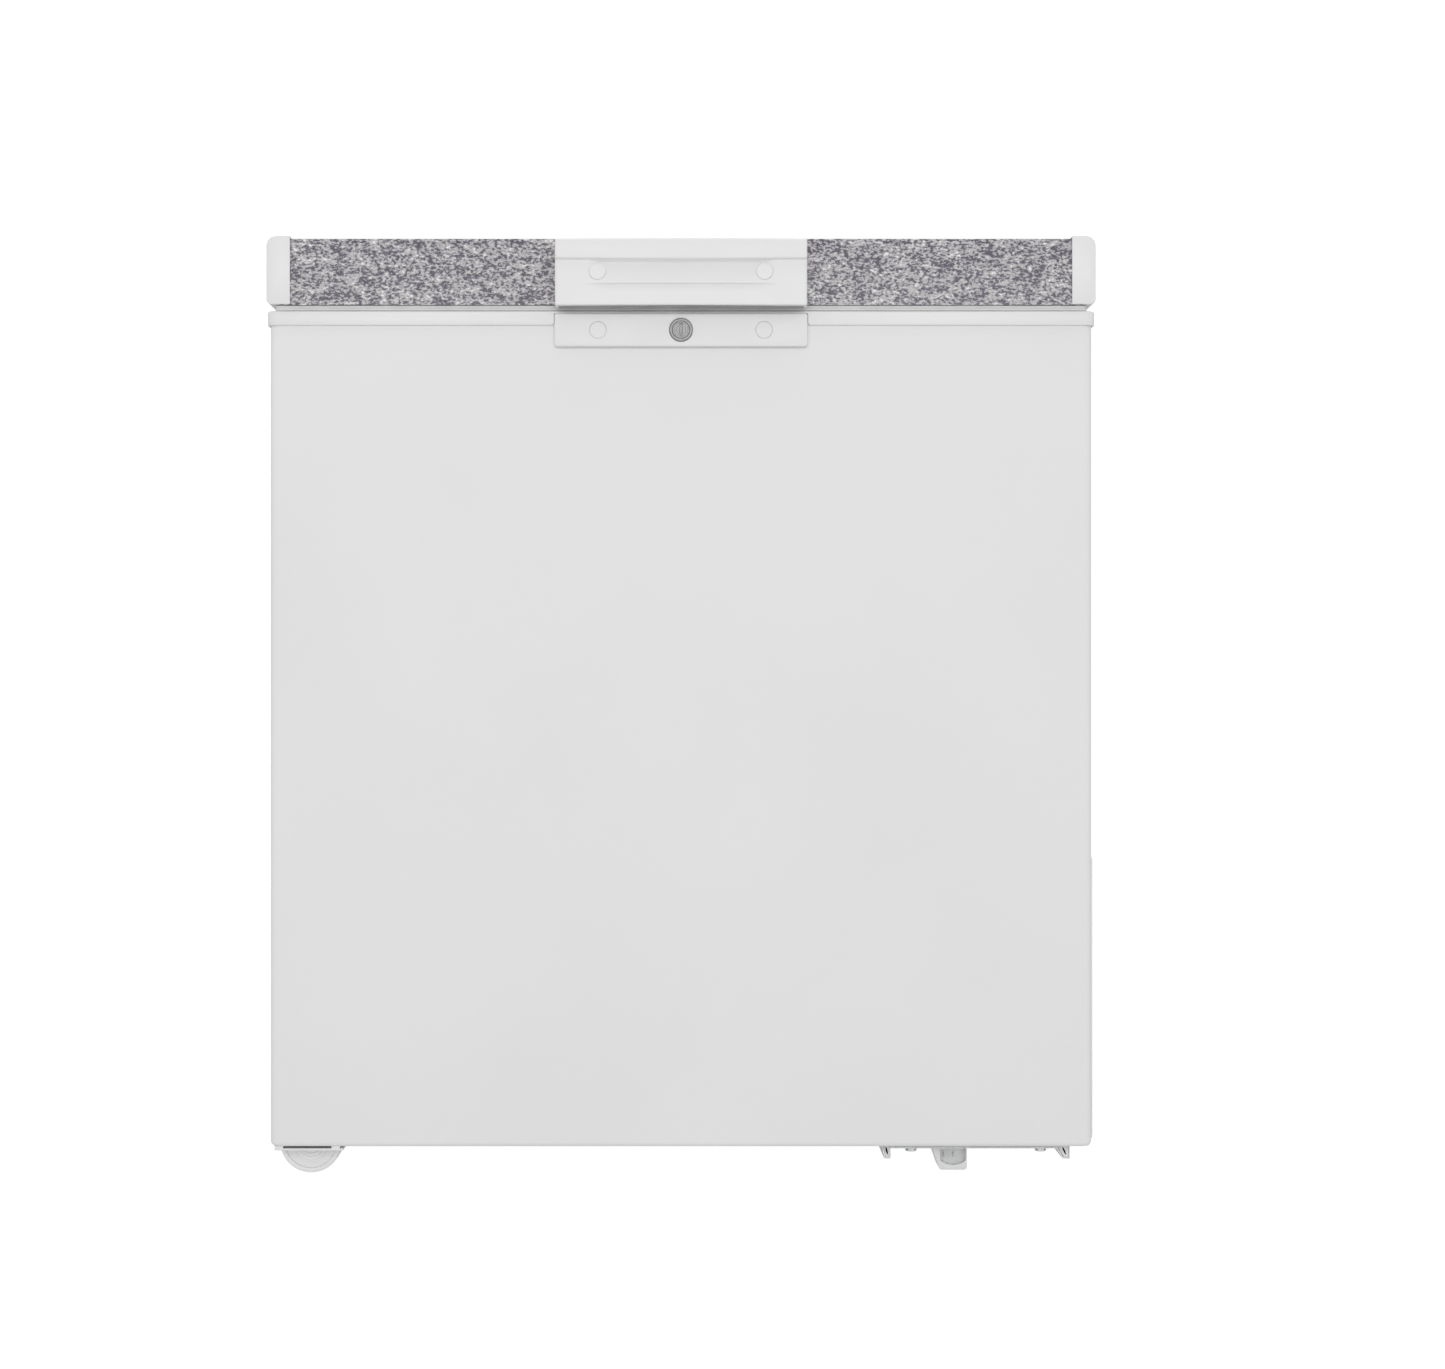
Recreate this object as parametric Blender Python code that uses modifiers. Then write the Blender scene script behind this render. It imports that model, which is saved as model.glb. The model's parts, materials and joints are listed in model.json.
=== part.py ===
"""A 200 litre chest freezer: insulated cabinet, hinged lid with a lock, compressor
compartment at the lower right, rollers on the left and fixed feet on the right.

Metres, +Z up. The front faces -Y, and +X is the right-hand side seen from the front.
The origin is on the floor, under the middle of the whole object."""

import math

import bmesh
import bpy
from mathutils import Matrix, Vector

# Overall size
OVERALL_W = 0.755
OVERALL_D = 0.725
OVERALL_H = 0.860
GAP = 0.0003  # clearance between neighbouring solids
SHEET = 0.0008  # painted steel sheet

# Cabinet
BODY_X = 0.375
BODY_FRONT = -0.331
BODY_REAR = 0.334
BODY_BOTTOM = 0.030
BODY_TOP = 0.7890
BODY_CORNER = 0.008
HEM_RADIUS = 0.0045
HEM_WIDTH = 0.014

# Collar round the top of the cabinet
COLLAR_X = OVERALL_W / 2
COLLAR_FRONT = -0.3335
COLLAR_REAR = 0.3365
COLLAR_LOW = 0.779
COLLAR_TOP = 0.792
COLLAR_WALL = 0.0022
COLLAR_SKIRT = 0.758

# Cavity, measured on the liner's inner face
LINER = 0.001
CAVITY_X = 0.315
CAVITY_FRONT = -0.271
CAVITY_REAR = 0.274
CAVITY_FLOOR = 0.093
CAVITY_CORNER = 0.022
STEP_X = 0.126
STEP_TOP = 0.354

# Compressor compartment
ROOM_X = 0.185
ROOM_TOP = 0.296

# Lid
LID_FRONT = -0.3345
LID_REAR = 0.3375
LID_LOW = 0.7972
LID_TOP = 0.8580
LID_SKIN_X = 0.3640
CAP_WIDTH = 0.0214
CAP_LOW = 0.7980
CAP_ROUND = 0.0085
LINER_FLANGE = 0.7992
PLUG_X = 0.292
PLUG_Y = 0.253
PLUG_DEPTH = 0.0205
PLUG_TAPER = 0.19

# Handle and lock
HANDLE_X = 0.114
HANDLE_LOW = 0.7942
HANDLE_TOP = 0.8546
HANDLE_BACK = -0.3349
BROW_LOW = 0.8366
BROW_FRONT = -OVERALL_D / 2
HANDLE_BOW = 0.0035
BROW_STEP = 0.002
SCOOP_LOW = 0.8140
SCOOP_HALF = 0.082
SCOOP_DEPTH = 0.004
FIXING_X = 0.0755
HANDLE_FIXING_Z = 0.8248
FIXING_CAP_R = 0.0078
PLATE_X = 0.115
PLATE_LOW = 0.759
PLATE_TOP = 0.789
PLATE_FRONT = -0.3395
LOCK_Z = 0.774
LOCK_R = 0.0105
CAM_FRONT = -0.3370
CAM_BACK = -0.3352

# Hinges
HINGE_X = 0.235
HINGE_Y = 0.3525
HINGE_Z = 0.7950
HINGE_R = 0.010
PIN_R = 0.003
PIN_HOLE_R = 0.0033

# Rollers
ROLLER_X = -0.3425
ROLLER_R = 0.0285
ROLLER_WIDTH = 0.022
FLANGE_LOW = 0.0256
ROLLER_Y = 0.279  # distance of each roller from the origin, towards front and rear
AXLE_R = 0.002

# Compressor tray
TRAY_FLOOR = 0.0240
TRAY_SHEET = 0.0012
TRAY_FRONT = -0.301
TRAY_REAR = 0.304
BEAD_LOW = 0.0153
FOOT_Y = 0.2570
FOOT_DEPTH = 0.035

# Compressor
PUMP_X = 0.270
PUMP_Y = 0.150
PUMP_R = 0.078
PUMP_LOW = 0.0470
PUMP_TOP = 0.2080
MOUNT_X = 0.0640
MOUNT_Y = 0.0800

# Refrigerant tubes
EVAPORATOR_R = 0.004
EVAPORATOR_BEND = 0.010
CONDENSER_R = 0.0024
CONDENSER_BEND = 0.007
COIL_LEVELS = 4
COIL_LOW = 0.420
COIL_PITCH = 0.095
COIL_END_X = 0.235
SUCTION_X = 0.205
RETURN_X = 0.195
DRIER_AT = (0.205, 0.020)
DRIER_LOW = 0.150
DRIER_TOP = 0.245

# Side panel
SIDE_IN = 0.3753
SIDE_OUT = 0.3768
SIDE_FRONT = -0.3185
SIDE_REAR = 0.3200
SIDE_LOW = 0.0360
SIDE_TOP = 0.2930
SIDE_LAP = 0.008
CONTROL_Z = 0.235
DIAL_Y = -0.215
DIAL_R = 0.016
SWITCH_Y = -0.153
SWITCH_PIVOT_X = 0.3700
SWITCH_TILT = 6.0
LENS_Y = -0.112
LENS_R = 0.0035
LENS_SPREAD = 0.010

# Drain
DRAIN_X = -0.240
DRAIN_Y = -0.210
DRAIN_BORE = 0.006
DRAIN_HOLE = 0.0165  # half the side of the square hole in the bottom plate

# Basket
BASKET_X = 0.195
BASKET_W = 0.216
BASKET_FRONT = -0.2605
BASKET_REAR = 0.2635
BASKET_LOW = 0.565
BASKET_TOP = 0.764
BASKET_CROSS = 11
BASKET_LONG = 5
WIRE_R = 0.0017
MIDDLE_WIRE_R = 0.0021
RIM_WIRE_R = 0.0026


def clear_scene():
    for old in list(bpy.data.objects):
        bpy.data.objects.remove(old)


def new_collection(name):
    made = bpy.data.collections.new(name)
    bpy.context.scene.collection.children.link(made)
    return made


clear_scene()
PARTS = new_collection("chest_freezer")
CUTTERS = new_collection("cutters")


# ---------------------------------------------------------------- materials
def material(name, colour, roughness, metallic=0.0):
    made = bpy.data.materials.new(name)
    made.use_nodes = True
    shader = made.node_tree.nodes["Principled BSDF"]
    shader.inputs["Base Color"].default_value = (*colour, 1.0)
    shader.inputs["Roughness"].default_value = roughness
    shader.inputs["Metallic"].default_value = metallic
    made.diffuse_color = (*colour, 1.0)
    return made


WHITE_STEEL = material("white_steel", (0.78, 0.78, 0.78), 0.35)
PATTERN_STEEL = material("pattern_steel", (0.38, 0.36, 0.40), 0.45)
WHITE_PLASTIC = material("white_plastic", (0.82, 0.82, 0.82), 0.40)
GASKET_VINYL = material("gasket_vinyl", (0.72, 0.72, 0.71), 0.55)
LINER_ALUMINIUM = material("liner_aluminium", (0.80, 0.81, 0.82), 0.35, 0.9)
FOAM = material("foam", (0.85, 0.76, 0.55), 0.90)
ZINC_STEEL = material("zinc_steel", (0.62, 0.63, 0.64), 0.40, 0.9)
COMPRESSOR_SHELL = material("compressor_shell", (0.03, 0.03, 0.03), 0.40)
LOCK_METAL = material("lock_metal", (0.36, 0.37, 0.38), 0.40, 0.9)
BLACK_PLASTIC = material("black_plastic", (0.05, 0.05, 0.05), 0.50)
COPPER = material("copper", (0.72, 0.40, 0.25), 0.30, 1.0)
RUBBER = material("rubber", (0.04, 0.04, 0.04), 0.80)
GREY_PLASTIC = material("grey_plastic", (0.33, 0.34, 0.34), 0.40)
ROLLER_PLASTIC = material("roller_plastic", (0.74, 0.75, 0.75), 0.45)
SWITCH_ORANGE = material("switch_orange", (0.85, 0.32, 0.05), 0.35)
GREEN_LENS = material("green_lens", (0.05, 0.55, 0.12), 0.15)
RED_LENS = material("red_lens", (0.65, 0.04, 0.03), 0.15)
BASKET_COAT = material("basket_coat", (0.80, 0.80, 0.80), 0.35)


# ---------------------------------------------------------------- modelling helpers
def place(name, mesh, look=None, location=(0, 0, 0)):
    """An object in the freezer's collection, or a hidden cutter when it has no look."""
    made = bpy.data.objects.new(name, mesh)
    made.location = location
    if look is None:
        CUTTERS.objects.link(made)
        made.hide_render = True
        made.display_type = "WIRE"
    else:
        PARTS.objects.link(made)
        made.data.materials.append(look)
    return made


def finish_mesh(bm, name):
    bmesh.ops.recalc_face_normals(bm, faces=bm.faces)
    mesh = bpy.data.meshes.new(name)
    bm.to_mesh(mesh)
    bm.free()
    return mesh


def edges_to_round(bm, which):
    """The edges along one axis (X, Y or Z), or those round the top or the bottom face."""
    top = max(v.co.z for v in bm.verts)
    bottom = min(v.co.z for v in bm.verts)
    level = {"top": top, "bottom": bottom}
    chosen = []
    for edge in bm.edges:
        a, b = (v.co for v in edge.verts)
        if which in level:
            if abs(a.z - level[which]) < 1e-6 and abs(b.z - level[which]) < 1e-6:
                chosen.append(edge)
        else:
            along = "XYZ".index(which)
            across = [axis for axis in range(3) if axis != along]
            if all(abs(a[axis] - b[axis]) < 1e-6 for axis in across):
                chosen.append(edge)
    return chosen


def block_mesh(name, low, high, rounds=(), open_top=False):
    """A box between two corners, as a mesh about its centre. rounds holds (which, radius, steps)."""
    size = [h - l for l, h in zip(low, high)]
    bm = bmesh.new()
    bmesh.ops.create_cube(bm, size=1.0, matrix=Matrix.Diagonal((*size, 1.0)))
    for which, radius, steps in rounds:
        bmesh.ops.bevel(
            bm,
            geom=edges_to_round(bm, which),
            offset=radius,
            segments=steps,
            profile=0.5,
            affect="EDGES",
        )
    if open_top:
        lid = max(bm.faces, key=lambda face: face.calc_center_median().z)
        bmesh.ops.delete(bm, geom=[lid], context="FACES_ONLY")
    return finish_mesh(bm, name)


def block(name, low, high, look=None, rounds=(), open_top=False):
    centre = [(l + h) / 2 for l, h in zip(low, high)]
    return place(name, block_mesh(name, low, high, rounds, open_top), look, centre)


TURN_TO = {
    "X": Matrix.Rotation(math.pi / 2, 4, "Y"),
    "Y": Matrix.Rotation(-math.pi / 2, 4, "X"),
    "Z": Matrix.Identity(4),
}


def rod(name, centre, radius, length, axis, look=None, sides=24):
    """A plain cylinder about an axis."""
    bm = bmesh.new()
    bmesh.ops.create_cone(
        bm, cap_ends=True, segments=sides, radius1=radius, radius2=radius, depth=length
    )
    made = place(name, finish_mesh(bm, name), look, centre)
    made.rotation_euler = TURN_TO[axis].to_euler()
    return made


def turned(name, profile, centre, axis, look, steps=24, closed=False):
    """A profile of (radius, height) spun about its axis. It runs down the outer side."""
    bm = bmesh.new()
    verts = [bm.verts.new((radius, 0.0, height)) for radius, height in profile]
    pairs = list(zip(verts, verts[1:]))
    if closed:
        pairs.append((verts[-1], verts[0]))
    for pair in pairs:
        bm.edges.new(pair)
    mesh = bpy.data.meshes.new(name)
    bm.to_mesh(mesh)
    bm.free()
    made = place(name, mesh, look, centre)
    made.rotation_euler = TURN_TO[axis].to_euler()
    screw = made.modifiers.new("spin", "SCREW")
    screw.steps = steps
    screw.render_steps = steps
    screw.use_merge_vertices = True
    screw.merge_threshold = 0.00001
    return made


def cut(target, cutter, operation="DIFFERENCE"):
    modifier = target.modifiers.new(cutter.name, "BOOLEAN")
    modifier.operation = operation
    modifier.object = cutter
    modifier.solver = "EXACT"


def join(target, helper):
    cut(target, helper, "UNION")


def repeat(target, count, step):
    array = target.modifiers.new("repeat", "ARRAY")
    array.count = count
    array.use_relative_offset = False
    array.use_constant_offset = True
    array.constant_offset_displace = step
    array.merge_threshold = 0.0001


def outline_plate(name, points, depth, axis, centre, look=None):
    """A flat outline, thickened by depth along an axis. Points are in the plane across it:
    (y, z) for X, (x, z) for Y and (x, y) for Z, about the centre."""
    curve = bpy.data.curves.new(name + "_outline", "CURVE")
    curve.dimensions = "2D"
    curve.fill_mode = "BOTH"
    curve.extrude = depth / 2
    spline = curve.splines.new("POLY")
    spline.points.add(len(points) - 1)
    for point, (u, v) in zip(spline.points, points):
        point.co = (u, v, 0.0, 1.0)
    spline.use_cyclic_u = True
    drawn = bpy.data.objects.new(name + "_outline", curve)
    bpy.context.scene.collection.objects.link(drawn)
    bpy.context.view_layer.update()
    mesh = bpy.data.meshes.new_from_object(
        drawn.evaluated_get(bpy.context.evaluated_depsgraph_get())
    )
    bpy.data.objects.remove(drawn)
    bm = bmesh.new()
    bm.from_mesh(mesh)
    bmesh.ops.remove_doubles(bm, verts=bm.verts, dist=0.000001)
    columns = {
        "X": ((0, 0, 1), (1, 0, 0), (0, 1, 0)),
        "Y": ((1, 0, 0), (0, 0, 1), (0, 1, 0)),
        "Z": ((1, 0, 0), (0, 1, 0), (0, 0, 1)),
    }[axis]
    # Each row says where that world axis comes from in the drawing's (u, v, depth).
    bmesh.ops.transform(bm, matrix=Matrix(columns).to_4x4(), verts=bm.verts)
    return place(name, finish_mesh(bm, name), look, centre)


def folded_sheet(name, points, low, high, look, thickness, axis="Y"):
    """A bent sheet: an open line of points, drawn out along an axis from low to high."""
    along = Vector((0, high - low, 0)) if axis == "Y" else Vector((high - low, 0, 0))
    bm = bmesh.new()
    start = [(u, low, v) if axis == "Y" else (low, u, v) for u, v in points]
    verts = [bm.verts.new(point) for point in start]
    edges = [bm.edges.new(pair) for pair in zip(verts, verts[1:])]
    drawn = bmesh.ops.extrude_edge_only(bm, edges=edges)["geom"]
    moved = [part for part in drawn if isinstance(part, bmesh.types.BMVert)]
    bmesh.ops.translate(bm, vec=along, verts=moved)
    made = place(name, finish_mesh(bm, name), look)
    solidify = made.modifiers.new("sheet", "SOLIDIFY")
    solidify.thickness = thickness
    solidify.offset = 0.0
    solidify.use_even_offset = True
    return made


def arc(centre, radius, start, end, steps):
    """Points of an arc in a plane, from one angle to another, in degrees."""
    found = []
    for i in range(steps + 1):
        angle = math.radians(start + (end - start) * i / steps)
        found.append(
            (centre[0] + radius * math.cos(angle), centre[1] + radius * math.sin(angle))
        )
    return found


def eased(points, bend, steps=3, upright_bend=None):
    """The route with each of its corners replaced by an arc of points.
    Corners that turn up or down may have a bend radius of their own."""
    route = [Vector(point) for point in points]
    found = [route[0]]
    for before, corner, after in zip(route, route[1:], route[2:]):
        back, on = (before - corner).normalized(), (after - corner).normalized()
        upright = upright_bend is not None and abs(back.z) + abs(on.z) > 0.1
        radius = upright_bend if upright else bend
        half = back.angle(on) / 2
        if half > math.radians(89):
            found.append(corner)
            continue
        reach = radius / math.tan(half)
        middle = corner + (back + on).normalized() * (radius / math.sin(half))
        first, last = corner + back * reach - middle, corner + on * reach - middle
        for i in range(steps + 1):
            outward = first.normalized().slerp(last.normalized(), i / steps)
            found.append(middle + outward * radius)
    found.append(route[-1])
    return found


def tube(name, route, radius, look=None, resolution=1, closed=False):
    """A round tube along a route, with closed ends, or a closed ring of it."""
    curve = bpy.data.curves.new(name, "CURVE")
    curve.dimensions = "3D"
    curve.bevel_depth = radius
    curve.bevel_resolution = resolution
    curve.use_fill_caps = True
    spline = curve.splines.new("POLY")
    spline.points.add(len(route) - 1)
    for point, place_at in zip(spline.points, route):
        point.co = (*place_at, 1.0)
    spline.use_cyclic_u = closed
    return place(name, curve, look)


# ---------------------------------------------------------------- cabinet
def cavity(name, grow, look=None, open_top=False):
    """The storage space: a box with a step over the compressor compartment.
    grow moves every wall outwards."""
    x, floor = CAVITY_X + grow, CAVITY_FLOOR - grow
    step_x, step_top = STEP_X + grow, STEP_TOP - grow
    top = BODY_TOP if open_top else BODY_TOP + 0.02
    outline = [(-x, floor), (step_x, floor), (step_x, step_top), (x, step_top), (x, top), (-x, top)]
    bm = bmesh.new()
    front = [bm.verts.new((px, CAVITY_FRONT - grow, pz)) for px, pz in outline]
    side = bm.faces.new(front)
    drawn = bmesh.ops.extrude_face_region(bm, geom=[side])["geom"]
    moved = [part for part in drawn if isinstance(part, bmesh.types.BMVert)]
    depth = CAVITY_REAR - CAVITY_FRONT + 2 * grow
    bmesh.ops.translate(bm, vec=(0, depth, 0), verts=moved)
    rounded = [e for e in bm.edges if min(v.co.z for v in e.verts) < top - 1e-6]
    bmesh.ops.bevel(
        bm, geom=rounded, offset=CAVITY_CORNER + grow, segments=3, profile=0.5, affect="EDGES"
    )
    if open_top:
        roof = [f for f in bm.faces if all(abs(v.co.z - top) < 1e-6 for v in f.verts)]
        bmesh.ops.delete(bm, geom=roof, context="FACES_ONLY")
    return place(name, finish_mesh(bm, name), look)


def outer_shell():
    """The steel wrap, with its bottom edge turned in as a hem."""
    rounds = [("Z", BODY_CORNER, 3), ("bottom", HEM_RADIUS, 3)]
    shell = block(
        "outer_shell",
        (-BODY_X, BODY_FRONT, BODY_BOTTOM),
        (BODY_X, BODY_REAR, BODY_TOP),
        WHITE_STEEL,
        rounds,
        open_top=True,
    )
    sheet = shell.modifiers.new("sheet", "SOLIDIFY")
    sheet.thickness = SHEET
    sheet.offset = -1.0
    sheet.use_even_offset = True
    inside = BODY_X - HEM_WIDTH
    cut(
        shell,
        block(
            "cut_shell_bottom",
            (-inside, BODY_FRONT + HEM_WIDTH, BODY_BOTTOM - 0.01),
            (inside, BODY_REAR - HEM_WIDTH, BODY_BOTTOM + 0.004),
        ),
    )
    cut(
        shell,
        block(
            "cut_shell_side",
            (BODY_X - 0.01, SIDE_FRONT + SIDE_LAP, SIDE_LOW + SIDE_LAP),
            (BODY_X + 0.01, SIDE_REAR - SIDE_LAP, SIDE_TOP - SIDE_LAP),
        ),
    )
    cut(
        shell,
        block(
            "cut_shell_rear",
            (ROOM_X + 0.011, BODY_REAR - 0.01, 0.044),
            (BODY_X - 0.018, BODY_REAR + 0.01, 0.277),
        ),
    )
    cut(shell, rod("cut_shell_lock", (0, BODY_FRONT, LOCK_Z), 0.0075, 0.02, "Y"))
    for end in (-1, 1):
        cut(shell, roller_box(f"cut_shell_roller_{end}", end, GAP))


def bottom_plate():
    edge = 0.0056
    plate = block(
        "bottom_plate",
        (-BODY_X + edge, BODY_FRONT + edge, BODY_BOTTOM + SHEET + GAP),
        (ROOM_X - SHEET, BODY_REAR - edge, BODY_BOTTOM + 2 * SHEET + GAP),
        ZINC_STEEL,
    )
    for end in (-1, 1):
        cut(plate, roller_box(f"cut_plate_roller_{end}", end, GAP))
    low = (DRAIN_X - DRAIN_HOLE, DRAIN_Y - DRAIN_HOLE, BODY_BOTTOM - 0.01)
    cut(plate, block("cut_plate_drain", low, (DRAIN_X + DRAIN_HOLE, DRAIN_Y + DRAIN_HOLE, BODY_BOTTOM + 0.01)))


def compartment_wall():
    """The bent sheet that parts the insulation from the compressor compartment."""
    inner = BODY_X - SHEET - GAP - SHEET / 2
    line = [
        (ROOM_X, BODY_BOTTOM + 3 * SHEET),
        (ROOM_X, ROOM_TOP),
        (inner, ROOM_TOP),
    ]
    wall = folded_sheet(
        "compartment_wall",
        line,
        BODY_FRONT + BODY_CORNER,
        BODY_REAR - BODY_CORNER,
        ZINC_STEEL,
        SHEET,
    )
    cut(wall, rod("cut_wall_suction", (SUCTION_X, tube_y(), ROOM_TOP), 0.0055, 0.02, "Z"))
    for x in (COIL_END_X, RETURN_X):
        low = (x - 0.005, condenser_y() - 0.005, ROOM_TOP - 0.01)
        high = (x + 0.005, BODY_REAR, ROOM_TOP + 0.01)
        cut(wall, block(f"cut_wall_tube_{x}", low, high))


def cabinet_foam():
    """Insulation between shell and liner, grooved for both coils of tube."""
    skin = SHEET + GAP
    foam = block(
        "cabinet_foam",
        (-BODY_X + skin, BODY_FRONT + skin, BODY_BOTTOM + 0.0023),
        (BODY_X - skin, BODY_REAR - skin, BODY_TOP - GAP),
        FOAM,
        [("Z", BODY_CORNER - skin, 3), ("bottom", 0.0035, 2)],
    )
    ring = block(
        "cut_condenser_groove",
        (-BODY_X - 0.01, BODY_FRONT - 0.01, COIL_LOW + COIL_PITCH / 2 - 0.0032),
        (BODY_X + 0.01, BODY_REAR + 0.01, COIL_LOW + COIL_PITCH / 2 + 0.0032),
    )
    depth = SHEET + GAP + 2 * CONDENSER_R + 0.001
    core = block(
        "cut_condenser_core",
        (-BODY_X + depth, BODY_FRONT + depth, COIL_LOW),
        (BODY_X - depth, BODY_REAR - depth, COIL_LOW + COIL_PITCH),
        rounds=[("Z", BODY_CORNER, 3)],
    )
    cut(ring, core)
    repeat(ring, COIL_LEVELS - 1, (0, 0, COIL_PITCH))
    cut(foam, ring)
    level_top = COIL_LOW + COIL_PITCH * (COIL_LEVELS - 1.5) + 0.003
    side = CONDENSER_BEND + CONDENSER_R + 0.001
    for x in (-COIL_END_X, COIL_END_X, RETURN_X):
        cut(
            foam,
            block(
                f"cut_condenser_drop_{x}",
                (x - side, BODY_REAR - depth, ROOM_TOP - 0.01 if x > 0 else COIL_LOW),
                (x + side, BODY_REAR + 0.01, level_top),
            ),
        )

    cut(foam, cavity("cut_foam_cavity", LINER + GAP))
    room_low = (ROOM_X - SHEET / 2 - GAP, BODY_FRONT - 0.01, 0.0)
    room_high = (BODY_X + 0.01, BODY_REAR + 0.01, ROOM_TOP + SHEET / 2 + GAP)
    cut(foam, block("cut_foam_room", room_low, room_high))
    for end in (-1, 1):
        cut(foam, roller_box(f"cut_foam_roller_{end}", end, GAP))
    cut(foam, rod("cut_foam_drain", (DRAIN_X, DRAIN_Y, 0.06), 0.0085, 0.09, "Z"))
    cut(foam, rod("cut_foam_lock", (0, BODY_FRONT, LOCK_Z), 0.009, 0.05, "Y"))

    reach = LINER + 2 * EVAPORATOR_R + 0.002
    slab = block(
        "cut_evaporator_groove",
        (-CAVITY_X - reach, CAVITY_FRONT - reach, COIL_LOW - EVAPORATOR_R - 0.001),
        (CAVITY_X + reach, CAVITY_REAR + reach, COIL_LOW + EVAPORATOR_R + 0.001),
        rounds=[("Z", CAVITY_CORNER + reach, 3)],
    )
    repeat(slab, COIL_LEVELS, (0, 0, COIL_PITCH))
    cut(foam, slab)
    top = COIL_LOW + COIL_PITCH * (COIL_LEVELS - 1) + EVAPORATOR_R
    for x, low in ((-COIL_END_X, COIL_LOW - EVAPORATOR_R), (SUCTION_X, ROOM_TOP)):
        side = EVAPORATOR_BEND + EVAPORATOR_R + 0.002
        cut(
            foam,
            block(
                f"cut_evaporator_drop_{x}",
                (x - side, CAVITY_REAR - 0.01, low),
                (x + side, CAVITY_REAR + reach, top),
            ),
        )


def inner_liner():
    liner = cavity("inner_liner", 0.0, LINER_ALUMINIUM, open_top=True)
    sheet = liner.modifiers.new("sheet", "SOLIDIFY")
    sheet.thickness = LINER
    sheet.offset = 1.0
    sheet.use_even_offset = True
    cut(liner, rod("cut_liner_drain", (DRAIN_X, DRAIN_Y, CAVITY_FLOOR), 0.0085, 0.02, "Z"))


def top_collar():
    """The moulded rim: top plate, outer skirt over the shell and inner skirt in the cavity."""
    collar = block(
        "top_collar",
        (-COLLAR_X, COLLAR_FRONT, COLLAR_LOW),
        (COLLAR_X, COLLAR_REAR, COLLAR_TOP),
        WHITE_PLASTIC,
        [("Z", 0.009, 3), ("top", 0.0015, 2)],
    )
    under = COLLAR_TOP - 0.0025
    wall = COLLAR_WALL
    hollow = block(
        "cut_collar_hollow",
        (-COLLAR_X + wall, COLLAR_FRONT + wall, COLLAR_LOW - 0.01),
        (COLLAR_X - wall, COLLAR_REAR - wall, under),
        rounds=[("Z", 0.0075, 3)],
    )
    cut(collar, hollow)
    inner_x = CAVITY_X - GAP
    skirt = block(
        "add_collar_skirt",
        (-inner_x, CAVITY_FRONT + GAP, COLLAR_SKIRT),
        (inner_x, CAVITY_REAR - GAP, under + 0.001),
        rounds=[("Z", CAVITY_CORNER, 3)],
    )
    join(collar, skirt)
    mouth = block(
        "cut_collar_mouth",
        (-inner_x + wall, CAVITY_FRONT + GAP + wall, COLLAR_SKIRT - 0.01),
        (inner_x - wall, CAVITY_REAR - GAP - wall, COLLAR_TOP + 0.01),
        rounds=[("Z", CAVITY_CORNER - wall, 3)],
    )
    cut(collar, mouth)
    notch = block(
        "cut_collar_notch",
        (-PLATE_X - 0.0005, COLLAR_FRONT - 0.01, COLLAR_LOW - 0.01),
        (PLATE_X + 0.0005, COLLAR_FRONT + wall + 0.001, under),
    )
    cut(collar, notch)
    for side in (-1, 1):
        near, far = sorted((side * PLATE_X, side * (PLATE_X + 0.0018)))
        low = (near, COLLAR_FRONT - 0.01, COLLAR_LOW - 0.01)
        cut(collar, block(f"cut_collar_nick_{side}", low, (far, COLLAR_FRONT + wall + 0.001, COLLAR_LOW + 0.0012)))


# ---------------------------------------------------------------- rollers, tray and feet
def roller_box(name, end, grow=0.0, look=None):
    """The part of a roller housing that stands up into the cabinet."""
    y = end * ROLLER_Y
    return block(
        name,
        (ROLLER_X - 0.0305 - grow, y - 0.0175 - grow, FLANGE_LOW),
        (ROLLER_X + 0.0305 + grow, y + 0.0175 + grow, 2 * ROLLER_R + 0.0030 + grow),
        look,
    )


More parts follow.
